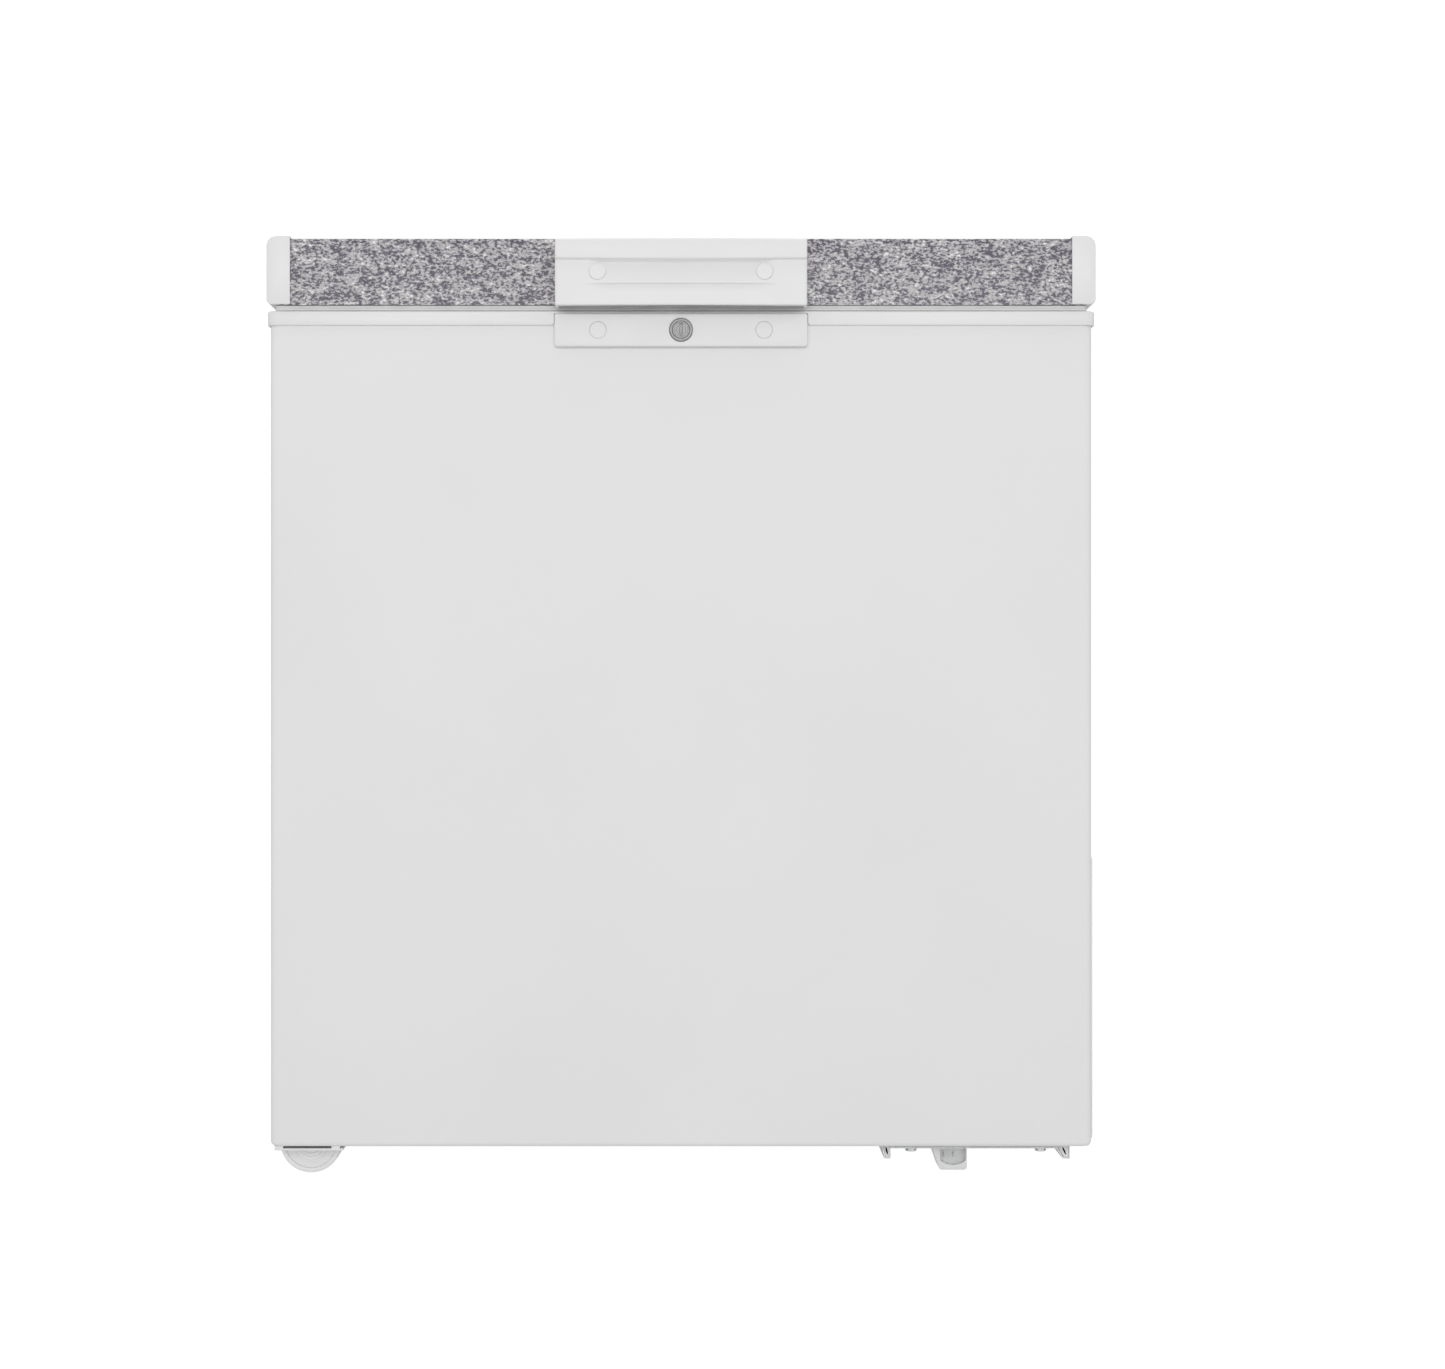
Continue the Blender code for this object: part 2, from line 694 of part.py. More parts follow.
def roller(name, end):
    """Housing, wheel and axle of one roller. The wheel turns about Y."""
    y = end * ROLLER_Y
    housing = roller_box(f"roller_housing_{name}", end, 0.0, WHITE_PLASTIC)
    flange = block(
        f"add_flange_{name}",
        (ROLLER_X - 0.0290, y - 0.045, FLANGE_LOW),
        (ROLLER_X + 0.0335, y + 0.045, FLANGE_LOW + 0.0018),
    )
    join(housing, flange)
    for side, x, half in ((-1, ROLLER_X - 0.0252, 0.0038), (1, ROLLER_X + 0.0267, 0.0038)):
        ear = rod(
            f"add_ear_{name}_{side}",
            (ROLLER_X, y + side * 0.0155, ROLLER_R),
            0.0065,
            0.004,
            "Y",
        )
        join(housing, ear)
        spacer = block(
            f"add_spacer_{name}_{side}",
            (x - half, y + end * 0.041 - 0.004, FLANGE_LOW + 0.0010),
            (x + half, y + end * 0.041 + 0.004, BODY_BOTTOM - GAP),
        )
        join(housing, spacer)
    well = block(
        f"cut_well_{name}",
        (ROLLER_X - 0.0294, y - 0.0135, 0.0),
        (ROLLER_X + 0.0294, y + 0.0135, 2 * ROLLER_R + 0.0015),
    )
    cut(housing, well)
    bore = rod(f"cut_axle_hole_{name}", (ROLLER_X, y, ROLLER_R), AXLE_R + GAP, 0.08, "Y", sides=16)
    cut(housing, bore)

    half = ROLLER_WIDTH / 2
    profile = [
        (AXLE_R + GAP, half + 0.001),
        (0.0065, half + 0.001),
        (0.0075, half - 0.002),
        (ROLLER_R - 0.0040, half - 0.002),
        (ROLLER_R - 0.0030, half),
        (ROLLER_R, half - 0.001),
        (ROLLER_R, -half),
        (AXLE_R + GAP, -half - 0.001),
    ]
    if end < 0:
        profile = [(radius, -height) for radius, height in reversed(profile)]
    turned(
        f"roller_wheel_{name}",
        profile,
        (ROLLER_X, y, ROLLER_R),
        "Y",
        ROLLER_PLASTIC,
        steps=24,
        closed=True,
    )
    rod(f"roller_axle_{name}", (ROLLER_X, y, ROLLER_R), AXLE_R, 0.0345, "Y", ZINC_STEEL, 12)


def compressor_tray():
    """A pressed steel tray under the compartment, stiffened by two deep beads."""
    middle = TRAY_FLOOR + TRAY_SHEET / 2
    flange = BODY_BOTTOM - GAP - TRAY_SHEET / 2
    line = [
        (0.1700, flange),
        (0.1853, flange),
        (0.1878, BEAD_LOW),
        (0.1926, BEAD_LOW),
        (0.1926, middle),
        (0.3468, middle),
        (0.3520, BEAD_LOW),
        (0.3578, BEAD_LOW),
        (0.3578, flange),
        (0.3710, flange),
    ]
    tray = folded_sheet("compressor_tray", line, TRAY_FRONT, TRAY_REAR, ZINC_STEEL, TRAY_SHEET)
    for x in (-MOUNT_X, MOUNT_X):
        for y in (-MOUNT_Y, MOUNT_Y):
            at = (PUMP_X + x, PUMP_Y + y, TRAY_FLOOR)
            cut(tray, rod(f"cut_tray_{x}_{y}", at, 0.003, 0.01, "Z", sides=12))


def foot(name, end):
    """A moulded foot under the tray: one sloping side, and a pocket behind a scooped lip."""
    outline = [
        (0.2323, 0.0237),
        *arc((0.2428, 0.0030), 0.0030, 200, 270, 3),
        *arc((0.2630, 0.0030), 0.0030, 270, 360, 3),
        (0.2660, 0.0237),
    ]
    y, near = end * FOOT_Y, end * (FOOT_Y + FOOT_DEPTH / 2)
    made = outline_plate(name, outline, FOOT_DEPTH, "Y", (0, y, 0), WHITE_PLASTIC)
    left, right, low, back = 0.2413, 0.2648, 0.0030, near - end * 0.0125
    front, rear = sorted((back, near + end * 0.01))
    cut(made, block(f"cut_pocket_{name}", (left, front, low), (right, rear, 0.0300)))
    front, rear = sorted((near, near - end * 0.0016))
    lip = block(f"add_lip_{name}", (left - 0.0005, front, low - 0.0005), (right + 0.0005, rear, 0.0087))
    cut(lip, rod(f"cut_lip_{name}", ((left + right) / 2, near, 0.0231), 0.0185, 0.010, "Y", sides=32))
    join(made, lip)
    for x in (0.2449, 0.2540):
        front, rear = sorted((back + end * 0.001, back - end * 0.003))
        cut(made, block(f"cut_slit_{name}_{x}", (x - 0.0006, front, 0.0103), (x + 0.0006, rear, 0.0152)))


# ---------------------------------------------------------------- cooling circuit
def tube_y():
    """Centre of the evaporator tube behind the liner's rear wall."""
    return CAVITY_REAR + LINER + GAP + EVAPORATOR_R


def condenser_y():
    """Centre of the condenser tube inside the shell's rear wall."""
    return BODY_REAR - SHEET - GAP - CONDENSER_R


def wrapped_coil(levels, first, x_end, side, front, rear):
    """Corners of a tube that runs round three walls at each level, there and back."""
    route = []
    for i in range(levels):
        z = first + i * COIL_PITCH
        lap = [(x_end, rear, z), (side, rear, z), (side, front, z)]
        lap += [(-x, y, height) for x, y, height in reversed(lap)]
        route += lap if i % 2 == 0 else lap[::-1]
    return route


def evaporator_tube():
    side = CAVITY_X + LINER + GAP + EVAPORATOR_R
    front = CAVITY_FRONT - LINER - GAP - EVAPORATOR_R
    route = wrapped_coil(COIL_LEVELS, COIL_LOW, SUCTION_X, side, front, tube_y())
    mirrored = [(-COIL_END_X if x == -SUCTION_X else x, y, z) for x, y, z in route]
    start = (SUCTION_X, tube_y(), ROOM_TOP + 0.008)
    bend = CAVITY_CORNER + LINER + GAP + EVAPORATOR_R
    path = eased([start, *mirrored], bend, 3, EVAPORATOR_BEND)
    tube("evaporator_tube", path, EVAPORATOR_R, COPPER)


def condenser_tube():
    side = BODY_X - SHEET - GAP - CONDENSER_R
    front = BODY_FRONT + SHEET + GAP + CONDENSER_R
    first = COIL_LOW + COIL_PITCH / 2
    route = wrapped_coil(COIL_LEVELS - 1, first, COIL_END_X, side, front, condenser_y())
    last = route[-1]
    route[-1] = (RETURN_X, last[1], last[2])
    start = (COIL_END_X, condenser_y(), ROOM_TOP + 0.008)
    to_drier = [
        (RETURN_X, condenser_y(), 0.278),
        (RETURN_X, DRIER_AT[1] + 0.020, 0.278),
        (*DRIER_AT, 0.270),
        (*DRIER_AT, DRIER_TOP + GAP),
    ]
    path = eased([start, *route, *to_drier], CONDENSER_BEND, 2)
    tube("condenser_tube", path, CONDENSER_R, COPPER)


def compressor():
    """The welded pot of the hermetic compressor on its four-legged base."""
    seam = 0.115
    profile = [
        (0.0, PUMP_TOP),
        (0.035, PUMP_TOP - 0.004),
        (0.062, PUMP_TOP - 0.020),
        (PUMP_R - 0.004, seam + 0.040),
        (PUMP_R, seam + 0.003),
        (PUMP_R + 0.004, seam + 0.003),
        (PUMP_R + 0.004, seam - 0.001),
        (PUMP_R, seam - 0.001),
        (PUMP_R - 0.003, seam - 0.030),
        (0.066, PUMP_LOW + 0.012),
        (0.050, PUMP_LOW),
        (0.0, PUMP_LOW),
    ]
    pot = turned("compressor", profile, (PUMP_X, PUMP_Y, 0), "Z", COMPRESSOR_SHELL, steps=24)
    base = block(
        "add_pump_base",
        (PUMP_X - MOUNT_X - 0.014, PUMP_Y - MOUNT_Y - 0.013, 0.0405),
        (PUMP_X + MOUNT_X + 0.014, PUMP_Y + MOUNT_Y + 0.013, 0.0430),
        rounds=[("Z", 0.010, 2)],
    )
    stand = rod("add_pump_stand", (PUMP_X, PUMP_Y, 0.046), 0.045, 0.008, "Z")
    join(pot, base)
    join(pot, stand)
    for side in (-1, 1):
        waist = block(
            f"cut_pump_waist_{side}",
            (PUMP_X - 0.048, PUMP_Y + side * 0.085 - 0.016, 0.035),
            (PUMP_X + 0.048, PUMP_Y + side * 0.085 + 0.016, 0.045),
        )
        cut(pot, waist)
    number = 1
    for x in (-MOUNT_X, MOUNT_X):
        for y in (-MOUNT_Y, MOUNT_Y):
            at = (PUMP_X + x, PUMP_Y + y, 0)
            cut(pot, rod(f"cut_pump_mount_{number}", (*at[:2], 0.042), 0.0068, 0.012, "Z", sides=16))
            grommet(f"compressor_grommet_{number}", at)
            number += 1


def grommet(name, at):
    """A rubber mount: a foot under the compressor's leg, a waist in its hole and a cap."""
    low = TRAY_FLOOR + TRAY_SHEET + GAP
    profile = [
        (0.0035, 0.0470),
        (0.0088, 0.0470),
        (0.0088, 0.0434),
        (0.0064, 0.0434),
        (0.0064, 0.0401),
        (0.0100, 0.0401),
        (0.0110, low),
        (0.0035, low),
    ]
    turned(name, profile, at, "Z", RUBBER, steps=12, closed=True)


def terminal_cover():
    """The clip-on cover over the compressor's terminals, relay and overload switch."""
    front = PUMP_Y - PUMP_R - 0.042
    cover = block(
        "terminal_cover",
        (PUMP_X - 0.030, front, 0.082),
        (PUMP_X + 0.030, PUMP_Y - 0.030, 0.150),
        BLACK_PLASTIC,
        [("Z", 0.006, 2)],
    )
    pot = rod("cut_terminal_pot", (PUMP_X, PUMP_Y, 0.115), PUMP_R + 0.0045, 0.2, "Z", sides=28)
    cut(cover, pot)


def cooling_lines():
    """Tubes in the compartment, each meeting its neighbour end to end."""
    joint_z = ROOM_TOP + 0.008 - GAP
    suction = [
        (SUCTION_X, tube_y(), joint_z),
        (SUCTION_X, tube_y(), 0.250),
        (SUCTION_X, 0.230, 0.250),
        (PUMP_X - 0.030, 0.230, 0.180),
        (PUMP_X - 0.030, PUMP_Y + 0.0760, 0.160),
    ]
    tube("suction_line", eased(suction, 0.012, 2), EVAPORATOR_R, COPPER)
    discharge = [
        (COIL_END_X, condenser_y(), joint_z),
        (COIL_END_X, condenser_y(), 0.270),
        (0.320, 0.300, 0.240),
        (0.320, 0.250, 0.150),
        (0.305, PUMP_Y + 0.0750, 0.150),
    ]
    tube("discharge_line", eased(discharge, 0.010, 2), CONDENSER_R, COPPER)
    profile = [
        (0.0, DRIER_TOP),
        (0.0030, DRIER_TOP),
        (0.0035, DRIER_TOP - 0.012),
        (0.0095, DRIER_TOP - 0.022),
        (0.0095, DRIER_LOW + 0.022),
        (0.0030, DRIER_LOW + 0.010),
        (0.0025, DRIER_LOW),
        (0.0, DRIER_LOW),
    ]
    turned("filter_drier", profile, (*DRIER_AT, 0), "Z", COPPER, steps=16)
    coil = []
    turns, points, radius = 3, 12, 0.022
    for i in range(turns * points + 1):
        angle = -math.pi / 2 + 2 * math.pi * i / points
        x = DRIER_AT[0] + radius * 1.1 + radius * math.cos(angle)
        z = 0.108 + radius * math.sin(angle)
        coil.append((x, DRIER_AT[1] - 0.030 + 0.004 * i / points, z))
    first = (*DRIER_AT, DRIER_LOW - GAP)
    route = [first, (*DRIER_AT, DRIER_LOW - 0.020), *coil[::-1]]
    route += [(coil[0][0] + 0.060, coil[0][1] - 0.010, coil[0][2])]
    route += [(coil[0][0] + 0.075, coil[0][1] - 0.010, ROOM_TOP - 0.004)]
    tube("capillary_tube", route, 0.0011, COPPER, resolution=0)


# ---------------------------------------------------------------- side panel and rear
def side_panel():
    """The moulded panel over the compartment's side, with louvres and the controls."""
    panel = block(
        "side_grille",
        (SIDE_IN, SIDE_FRONT, SIDE_LOW),
        (SIDE_OUT, SIDE_REAR, SIDE_TOP),
        WHITE_PLASTIC,
        [("X", 0.004, 2)],
    )
    lap, wall = SIDE_LAP + 0.0006, 0.002
    rim = block(
        "add_side_rim",
        (SIDE_IN - 0.005, SIDE_FRONT + lap, SIDE_LOW + lap),
        (SIDE_IN + 0.0008, SIDE_REAR - lap, SIDE_TOP - lap),
    )
    hollow = block(
        "cut_side_rim",
        (SIDE_IN - 0.010, SIDE_FRONT + lap + wall, SIDE_LOW + lap + wall),
        (SIDE_IN + 0.0004, SIDE_REAR - lap - wall, SIDE_TOP - lap - wall),
    )
    cut(rim, hollow)
    join(panel, rim)
    slot = block("cut_louvre", (SIDE_IN - 0.01, -0.020, 0.066), (SIDE_OUT + 0.01, 0.130, 0.071))
    repeat(slot, 12, (0, 0, 0.0170))
    slot.modifiers["repeat"].name = "rows"
    repeat(slot, 2, (0, 0.165, 0))
    cut(panel, slot)
    middle = (SIDE_IN + SIDE_OUT) / 2
    cut(panel, rod("cut_dial_hole", (middle, DIAL_Y, CONTROL_Z), DIAL_R + 0.0005, 0.02, "X", sides=32))
    for side in (-1, 1):
        at = (middle, LENS_Y, CONTROL_Z + side * LENS_SPREAD)
        cut(panel, rod(f"cut_lens_hole_{side}", at, LENS_R + GAP, 0.02, "X", sides=16))
    cut(
        panel,
        block(
            "cut_switch_hole",
            (middle - 0.01, SWITCH_Y - 0.0075, CONTROL_Z - 0.0118),
            (middle + 0.01, SWITCH_Y + 0.0075, CONTROL_Z + 0.0118),
        ),
    )


def controls():
    dial = rod("thermostat_dial", (0.3700, DIAL_Y, CONTROL_Z), DIAL_R, 0.0144, "X", GREY_PLASTIC, 32)
    coin = block(
        "cut_coin_slot",
        (0.3755, DIAL_Y - 0.0010, CONTROL_Z - 0.012),
        (0.3785, DIAL_Y + 0.0010, CONTROL_Z + 0.012),
    )
    cut(dial, coin)

    rocker = outline_plate(
        "fast_freeze_switch",
        [
            (-0.006, -0.0085),
            (0.0040, -0.0102),
            (0.0060, -0.0102),
            (0.0052, 0.0),
            (0.0060, 0.0102),
            (0.0040, 0.0102),
            (-0.006, 0.0085),
        ],
        0.0138,
        "Y",
        (SWITCH_PIVOT_X, SWITCH_Y, CONTROL_Z),
        SWITCH_ORANGE,
    )
    rocker.rotation_euler = (0, math.radians(SWITCH_TILT), 0)

    profile = [
        (0.0, 0.3774),
        (0.0018, 0.3772),
        (0.0030, 0.3768),
        (LENS_R, 0.3762),
        (LENS_R, 0.3700),
        (0.0, 0.3700),
    ]
    for name, side, look in (("power_lens", 1, GREEN_LENS), ("alarm_lens", -1, RED_LENS)):
        at = (0, LENS_Y, CONTROL_Z + side * LENS_SPREAD)
        turned(name, profile, at, "X", look, steps=16)


def rear_cover():
    cover = block(
        "rear_cover",
        (ROOM_X + 0.003, BODY_REAR + GAP, 0.0360),
        (BODY_X - 0.010, BODY_REAR + GAP + 0.0012, 0.2850),
        ZINC_STEEL,
        [("Y", 0.005, 2)],
    )
    slot = block("cut_rear_slot", (0.215, BODY_REAR - 0.01, 0.110), (0.340, BODY_REAR + 0.02, 0.116))
    repeat(slot, 9, (0, 0, 0.018))
    cut(cover, slot)
    cut(cover, rod("cut_gland_hole", (0.225, BODY_REAR, 0.072), 0.0083, 0.03, "Y", sides=20))
    outer = BODY_REAR + 0.0022
    profile = [
        (0.0042, outer + 0.0230),
        (0.0056, outer + 0.0230),
        (0.0068, outer + 0.0040),
        (0.0115, outer + 0.0040),
        (0.0115, outer),
        (0.0080, outer),
        (0.0080, BODY_REAR - 0.0030),
        (0.0042, BODY_REAR - 0.0030),
    ]
    turned("cord_gland", profile, (0.225, 0, 0.072), "Y", BLACK_PLASTIC, steps=14, closed=True)


# ---------------------------------------------------------------- drain
def drain():
    """The drain tube, whose lower flange covers the bottom plate's hole, and its plug."""
    top, flange = CAVITY_FLOOR + 0.0025, BODY_BOTTOM + SHEET
    profile = [
        (DRAIN_BORE, top),
        (0.0130, top - 0.0004),
        (0.0145, CAVITY_FLOOR + GAP),
        (0.0081, CAVITY_FLOOR + GAP),
        (0.0081, flange),
        (DRAIN_HOLE * 1.5, flange),
        (DRAIN_HOLE * 1.5, flange - 0.0018),
        (0.0095, flange - 0.0028),
        (0.0090, 0.0240),
        (DRAIN_BORE, 0.0240),
    ]
    turned("drain_tube", profile, (DRAIN_X, DRAIN_Y, 0), "Z", WHITE_PLASTIC, steps=20, closed=True)
    head = top + GAP
    plug = [
        (0.0, head + 0.0085),
        (0.0040, head + 0.0085),
        (0.0055, head + 0.0070),
        (0.0040, head + 0.0035),
        (0.0110, head + 0.0025),
        (0.0115, head),
        (DRAIN_BORE - GAP, head),
        (DRAIN_BORE - 0.0008, 0.0800),
        (0.0, 0.0800),
    ]
    turned("drain_plug", plug, (DRAIN_X, DRAIN_Y, 0), "Z", GREY_PLASTIC, steps=20)


# ---------------------------------------------------------------- lid
def lid_skin():
    """One patterned sheet folded down at front and rear, with turned-in edges."""
    half = SHEET / 2
    front, rear = LID_FRONT + half, LID_REAR - half
    low, top, bend = LID_LOW + half, LID_TOP - half, 0.003
    line = [
        (front + 0.0080, low),
        (front, low),
        *arc((front + bend, top - bend), bend, 180, 90, 3),
        *arc((rear - bend, top - bend), bend, 90, 0, 3),
        (rear, low),
        (rear - 0.0080, low),
    ]
    folded_sheet("lid_skin", line, -LID_SKIN_X, LID_SKIN_X, PATTERN_STEEL, SHEET, axis="X")


def lid_side(name, side):
    """The moulded profile that closes one end of the lid, open towards the lid's middle."""
    x_out, x_in = OVERALL_W / 2, OVERALL_W / 2 - CAP_WIDTH
    outline = [
        (x_in, CAP_LOW),
        *arc((x_out - 0.004, CAP_LOW + 0.004), 0.004, 270, 360, 3),
        *arc((x_out - CAP_ROUND, OVERALL_H - CAP_ROUND), CAP_ROUND, 0, 90, 3),
        (x_in, OVERALL_H),
    ]
    outline = [(side * x, z) for x, z in outline]
    length = LID_REAR - LID_FRONT + 0.002
    centre = (0, (LID_REAR + LID_FRONT) / 2, 0)
    cap = outline_plate(name, outline, length, "Y", centre, WHITE_PLASTIC)
    for level, reach, top in (
        ("high", LID_SKIN_X + 0.0008, LID_TOP + GAP),
        ("low", x_out - 0.0025, OVERALL_H - CAP_ROUND - 0.002),
    ):
        near, far = sorted((side * (x_in - 0.01), side * reach))
        cut(
            cap,
            block(
                f"cut_{name}_{level}",
                (near, LID_FRONT - GAP, CAP_LOW - 0.01 if level == "high" else CAP_LOW + 0.0016),
                (far, LID_REAR + GAP, top),
            ),
        )


def plug_form(name, grow, low, high, look=None):
    """A slab under the lid that dips into the cabinet's mouth, narrower towards its bottom."""
    bm = bmesh.new()
    bmesh.ops.create_cube(bm, size=2.0)
    for vert in bm.verts:
        z = high if vert.co.z > 0 else low
        inset = PLUG_TAPER * (LINER_FLANGE - z) - grow
        vert.co.x *= PLUG_X - inset
        vert.co.y *= PLUG_Y - inset
        vert.co.z = z
    upright = [e for e in bm.edges if abs(e.verts[0].co.z - e.verts[1].co.z) > 1e-4]
    bmesh.ops.bevel(bm, geom=upright, offset=0.030, segments=3, profile=0.5, affect="EDGES")
    return place(name, finish_mesh(bm, name), look, (0, (LID_FRONT + LID_REAR) / 2, 0))


def lid_insides():
    """Foam and the moulded inner lining, with its plug and the panel pressed into it."""
    flange_top = LINER_FLANGE
    wall = 0.0015
    foam = block(
        "lid_foam",
        (-LID_SKIN_X + 0.0015, LID_FRONT + SHEET + GAP, flange_top + GAP),
        (LID_SKIN_X - 0.0015, LID_REAR - SHEET - GAP, LID_TOP - SHEET - GAP),
        FOAM,
        [("X", 0.003, 2)],
    )
    plug_low = flange_top - wall - PLUG_DEPTH
    join(foam, plug_form("add_foam_plug", -wall - GAP, plug_low + wall + GAP, 0.810))
    dish_top = plug_low + 0.010
    dish_low = (-0.245, -0.205, plug_low - 0.01)
    dish_high = (0.245, 0.208, dish_top)
    shell = wall + 2 * GAP
    cut(
        foam,
        block(
            "cut_foam_dish",
            (dish_low[0] - shell, dish_low[1] - shell, dish_low[2]),
            (dish_high[0] + shell, dish_high[1] + shell, dish_top + shell),
            rounds=[("Z", 0.025, 3)],
        ),
    )

    inset = OVERALL_W / 2 - CAP_WIDTH - 0.0006
    liner = block(
        "lid_liner",
        (-inset, LID_FRONT + 0.0083 + SHEET / 2, flange_top - wall),
        (inset, LID_REAR - 0.0083 - SHEET / 2, flange_top),
        WHITE_PLASTIC,
    )
    join(liner, plug_form("add_liner_plug", 0.0, plug_low, flange_top - 0.0005))
    cut(liner, plug_form("cut_liner_plug", -wall, plug_low + wall, flange_top + 0.02))
    join(
        liner,
        block(
            "add_liner_dish",
            (dish_low[0] - wall, dish_low[1] - wall, plug_low + 0.0003),
            (dish_high[0] + wall, dish_high[1] + wall, dish_top + wall),
            rounds=[("Z", 0.025, 3)],
        ),
    )
    cut(liner, block("cut_liner_dish", dish_low, dish_high, rounds=[("Z", 0.0235, 3)]))


def lid_gasket():
    """The soft magnetic seal: a wide bellows strip that rests on the collar."""
    width = 0.022
    low, high = COLLAR_TOP + GAP, LID_LOW - GAP
    x, front, rear = COLLAR_X - 0.0070, COLLAR_FRONT + 0.0020, COLLAR_REAR - 0.0030
    seal = block(
        "lid_gasket",
        (-x, front, low),
        (x, rear, high),
        GASKET_VINYL,
        [("Z", 0.006, 3), ("bottom", 0.0012, 2)],
    )
    cut(
        seal,
        block(
            "cut_gasket_inside",
            (-x + width, front + width, low - 0.01),
            (x - width, rear - width, high + 0.01),
            rounds=[("Z", 0.004, 3)],
        ),
    )


# ---------------------------------------------------------------- handle and lock
def bowed_outline(front, back, half, bow, steps=14):
    """Plan of a bar whose back is straight and whose front bulges by bow in the middle."""
    radius = (half * half + bow * bow) / (2 * bow)
    reach = math.degrees(math.asin(half / radius))
    bulge = arc((0, front + radius), radius, -90 - reach, -90 + reach, steps)
    return [(half, back), (-half, back), *bulge]


def bowed_bar(name, front, back, half, bow, low, high, look=None):
    outline = bowed_outline(front, back, half, bow)
    return outline_plate(name, outline, high - low, "Z", (0, 0, (low + high) / 2), look)


def lid_handle():
    """A moulded grip: a brow along the top, a scooped face and a finger space behind it."""
    face = BROW_FRONT + BROW_STEP
    bar = bowed_bar(
        "lid_handle", face, HANDLE_BACK, HANDLE_X, HANDLE_BOW, HANDLE_LOW, BROW_LOW + 0.0005, WHITE_PLASTIC
    )
    brow = bowed_bar(
        "add_brow", BROW_FRONT, HANDLE_BACK, HANDLE_X - 0.0001, HANDLE_BOW, BROW_LOW, HANDLE_TOP
    )
    join(bar, brow)
    radius = (SCOOP_HALF**2 + SCOOP_DEPTH**2) / (2 * SCOOP_DEPTH)
    bow_radius = (HANDLE_X**2 + HANDLE_BOW**2) / (2 * HANDLE_BOW)
    scoop = []
    for i in range(17):
        x = SCOOP_HALF * (1 - i / 8)
        on_face = face + bow_radius - math.sqrt(bow_radius**2 - x * x)
        deep = math.sqrt(radius**2 - x * x) - radius + SCOOP_DEPTH
        scoop.append((x, on_face + deep))
    scoop += [(-SCOOP_HALF, BROW_FRONT - 0.01), (SCOOP_HALF, BROW_FRONT - 0.01)]
    height = BROW_LOW - SCOOP_LOW
    cut(bar, outline_plate("cut_scoop", scoop, height, "Z", (0, 0, SCOOP_LOW + height / 2)))
    cavity_front = face + 0.0065
    cut(
        bar,
        bowed_bar(
            "cut_finger_space", cavity_front, HANDLE_BACK - 0.0025, HANDLE_X - 0.0025, 0.002,
            HANDLE_LOW - 0.01, HANDLE_TOP - 0.006,
        ),
    )
    low, high = (-0.0150, HANDLE_BACK - 0.0035, HANDLE_LOW - 0.01), (0.0360, HANDLE_BACK + 0.01, 0.8105)
    cut(bar, block("cut_cam_slot", low, high))
    for side, name in ((-1, "left"), (1, "right")):
        x = side * FIXING_X
        surface = face + bow_radius - math.sqrt(bow_radius**2 - x * x) + 0.0006
        seat = rod(
            f"cut_handle_seat_{name}", (x, surface, HANDLE_FIXING_Z), FIXING_CAP_R + GAP, 0.0030, "Y"
        )
        cut(bar, seat)
        rod(
            f"handle_cap_{name}",
            (x, surface + 0.0003, HANDLE_FIXING_Z),
            FIXING_CAP_R,
            0.0018,
            "Y",
            WHITE_PLASTIC,
        )


def lock_striker():
    """The steel keeper in the handle: the cam's hook turns in above its ledge."""
    low, top = 0.7976, 0.8000
    ledge = block("lock_striker", (-0.0300, -0.3400, low), (-0.0045, -0.3377, top), ZINC_STEEL)
    join(ledge, block("add_striker_leg", (-0.0300, -0.3400, low), (-0.0155, -0.3377, 0.8260)))
    join(ledge, block("add_striker_tongue", (-0.0145, -0.3385, low), (-0.0045, -0.3352, top)))


def lock_plate():
    wall = 0.002
    plate = block(
        "lock_plate",
        (-PLATE_X, PLATE_FRONT, PLATE_LOW),
        (PLATE_X, BODY_FRONT - GAP, PLATE_TOP),
        WHITE_PLASTIC,
        [("Y", 0.002, 3)],
    )
    inside = PLATE_FRONT + wall
    cut(
        plate,
        block(
            "cut_plate_hollow",
            (-PLATE_X + wall, inside, PLATE_LOW + wall),
            (PLATE_X - wall, BODY_FRONT + 0.01, PLATE_TOP - wall),
        ),
    )
    cut(
        plate,
        block(
            "cut_plate_lap",
            (-PLATE_X - 0.01, COLLAR_FRONT - GAP, COLLAR_TOP - 0.0025 - GAP),
            (PLATE_X + 0.01, BODY_FRONT + 0.01, PLATE_TOP + 0.01),
        ),
    )
    slot_low = (-0.0045, inside + 0.0001, PLATE_TOP - 0.005)
    cut(plate, block("cut_plate_cam_slot", slot_low, (0.0345, BODY_FRONT + 0.01, PLATE_TOP + 0.01)))
    cut(plate, rod("cut_plate_lock", (0, PLATE_FRONT, LOCK_Z), LOCK_R + GAP, 0.02, "Y", sides=32))
    for side, name in ((-1, "left"), (1, "right")):
        x = side * FIXING_X
        seat = rod(
            f"cut_plate_seat_{name}", (x, PLATE_FRONT, LOCK_Z), FIXING_CAP_R + GAP, 0.0026, "Y"
        )
        cut(plate, seat)
        at = (x, PLATE_FRONT + 0.0003, LOCK_Z)
        rod(f"plate_cap_{name}", at, FIXING_CAP_R, 0.0012, "Y", WHITE_PLASTIC)


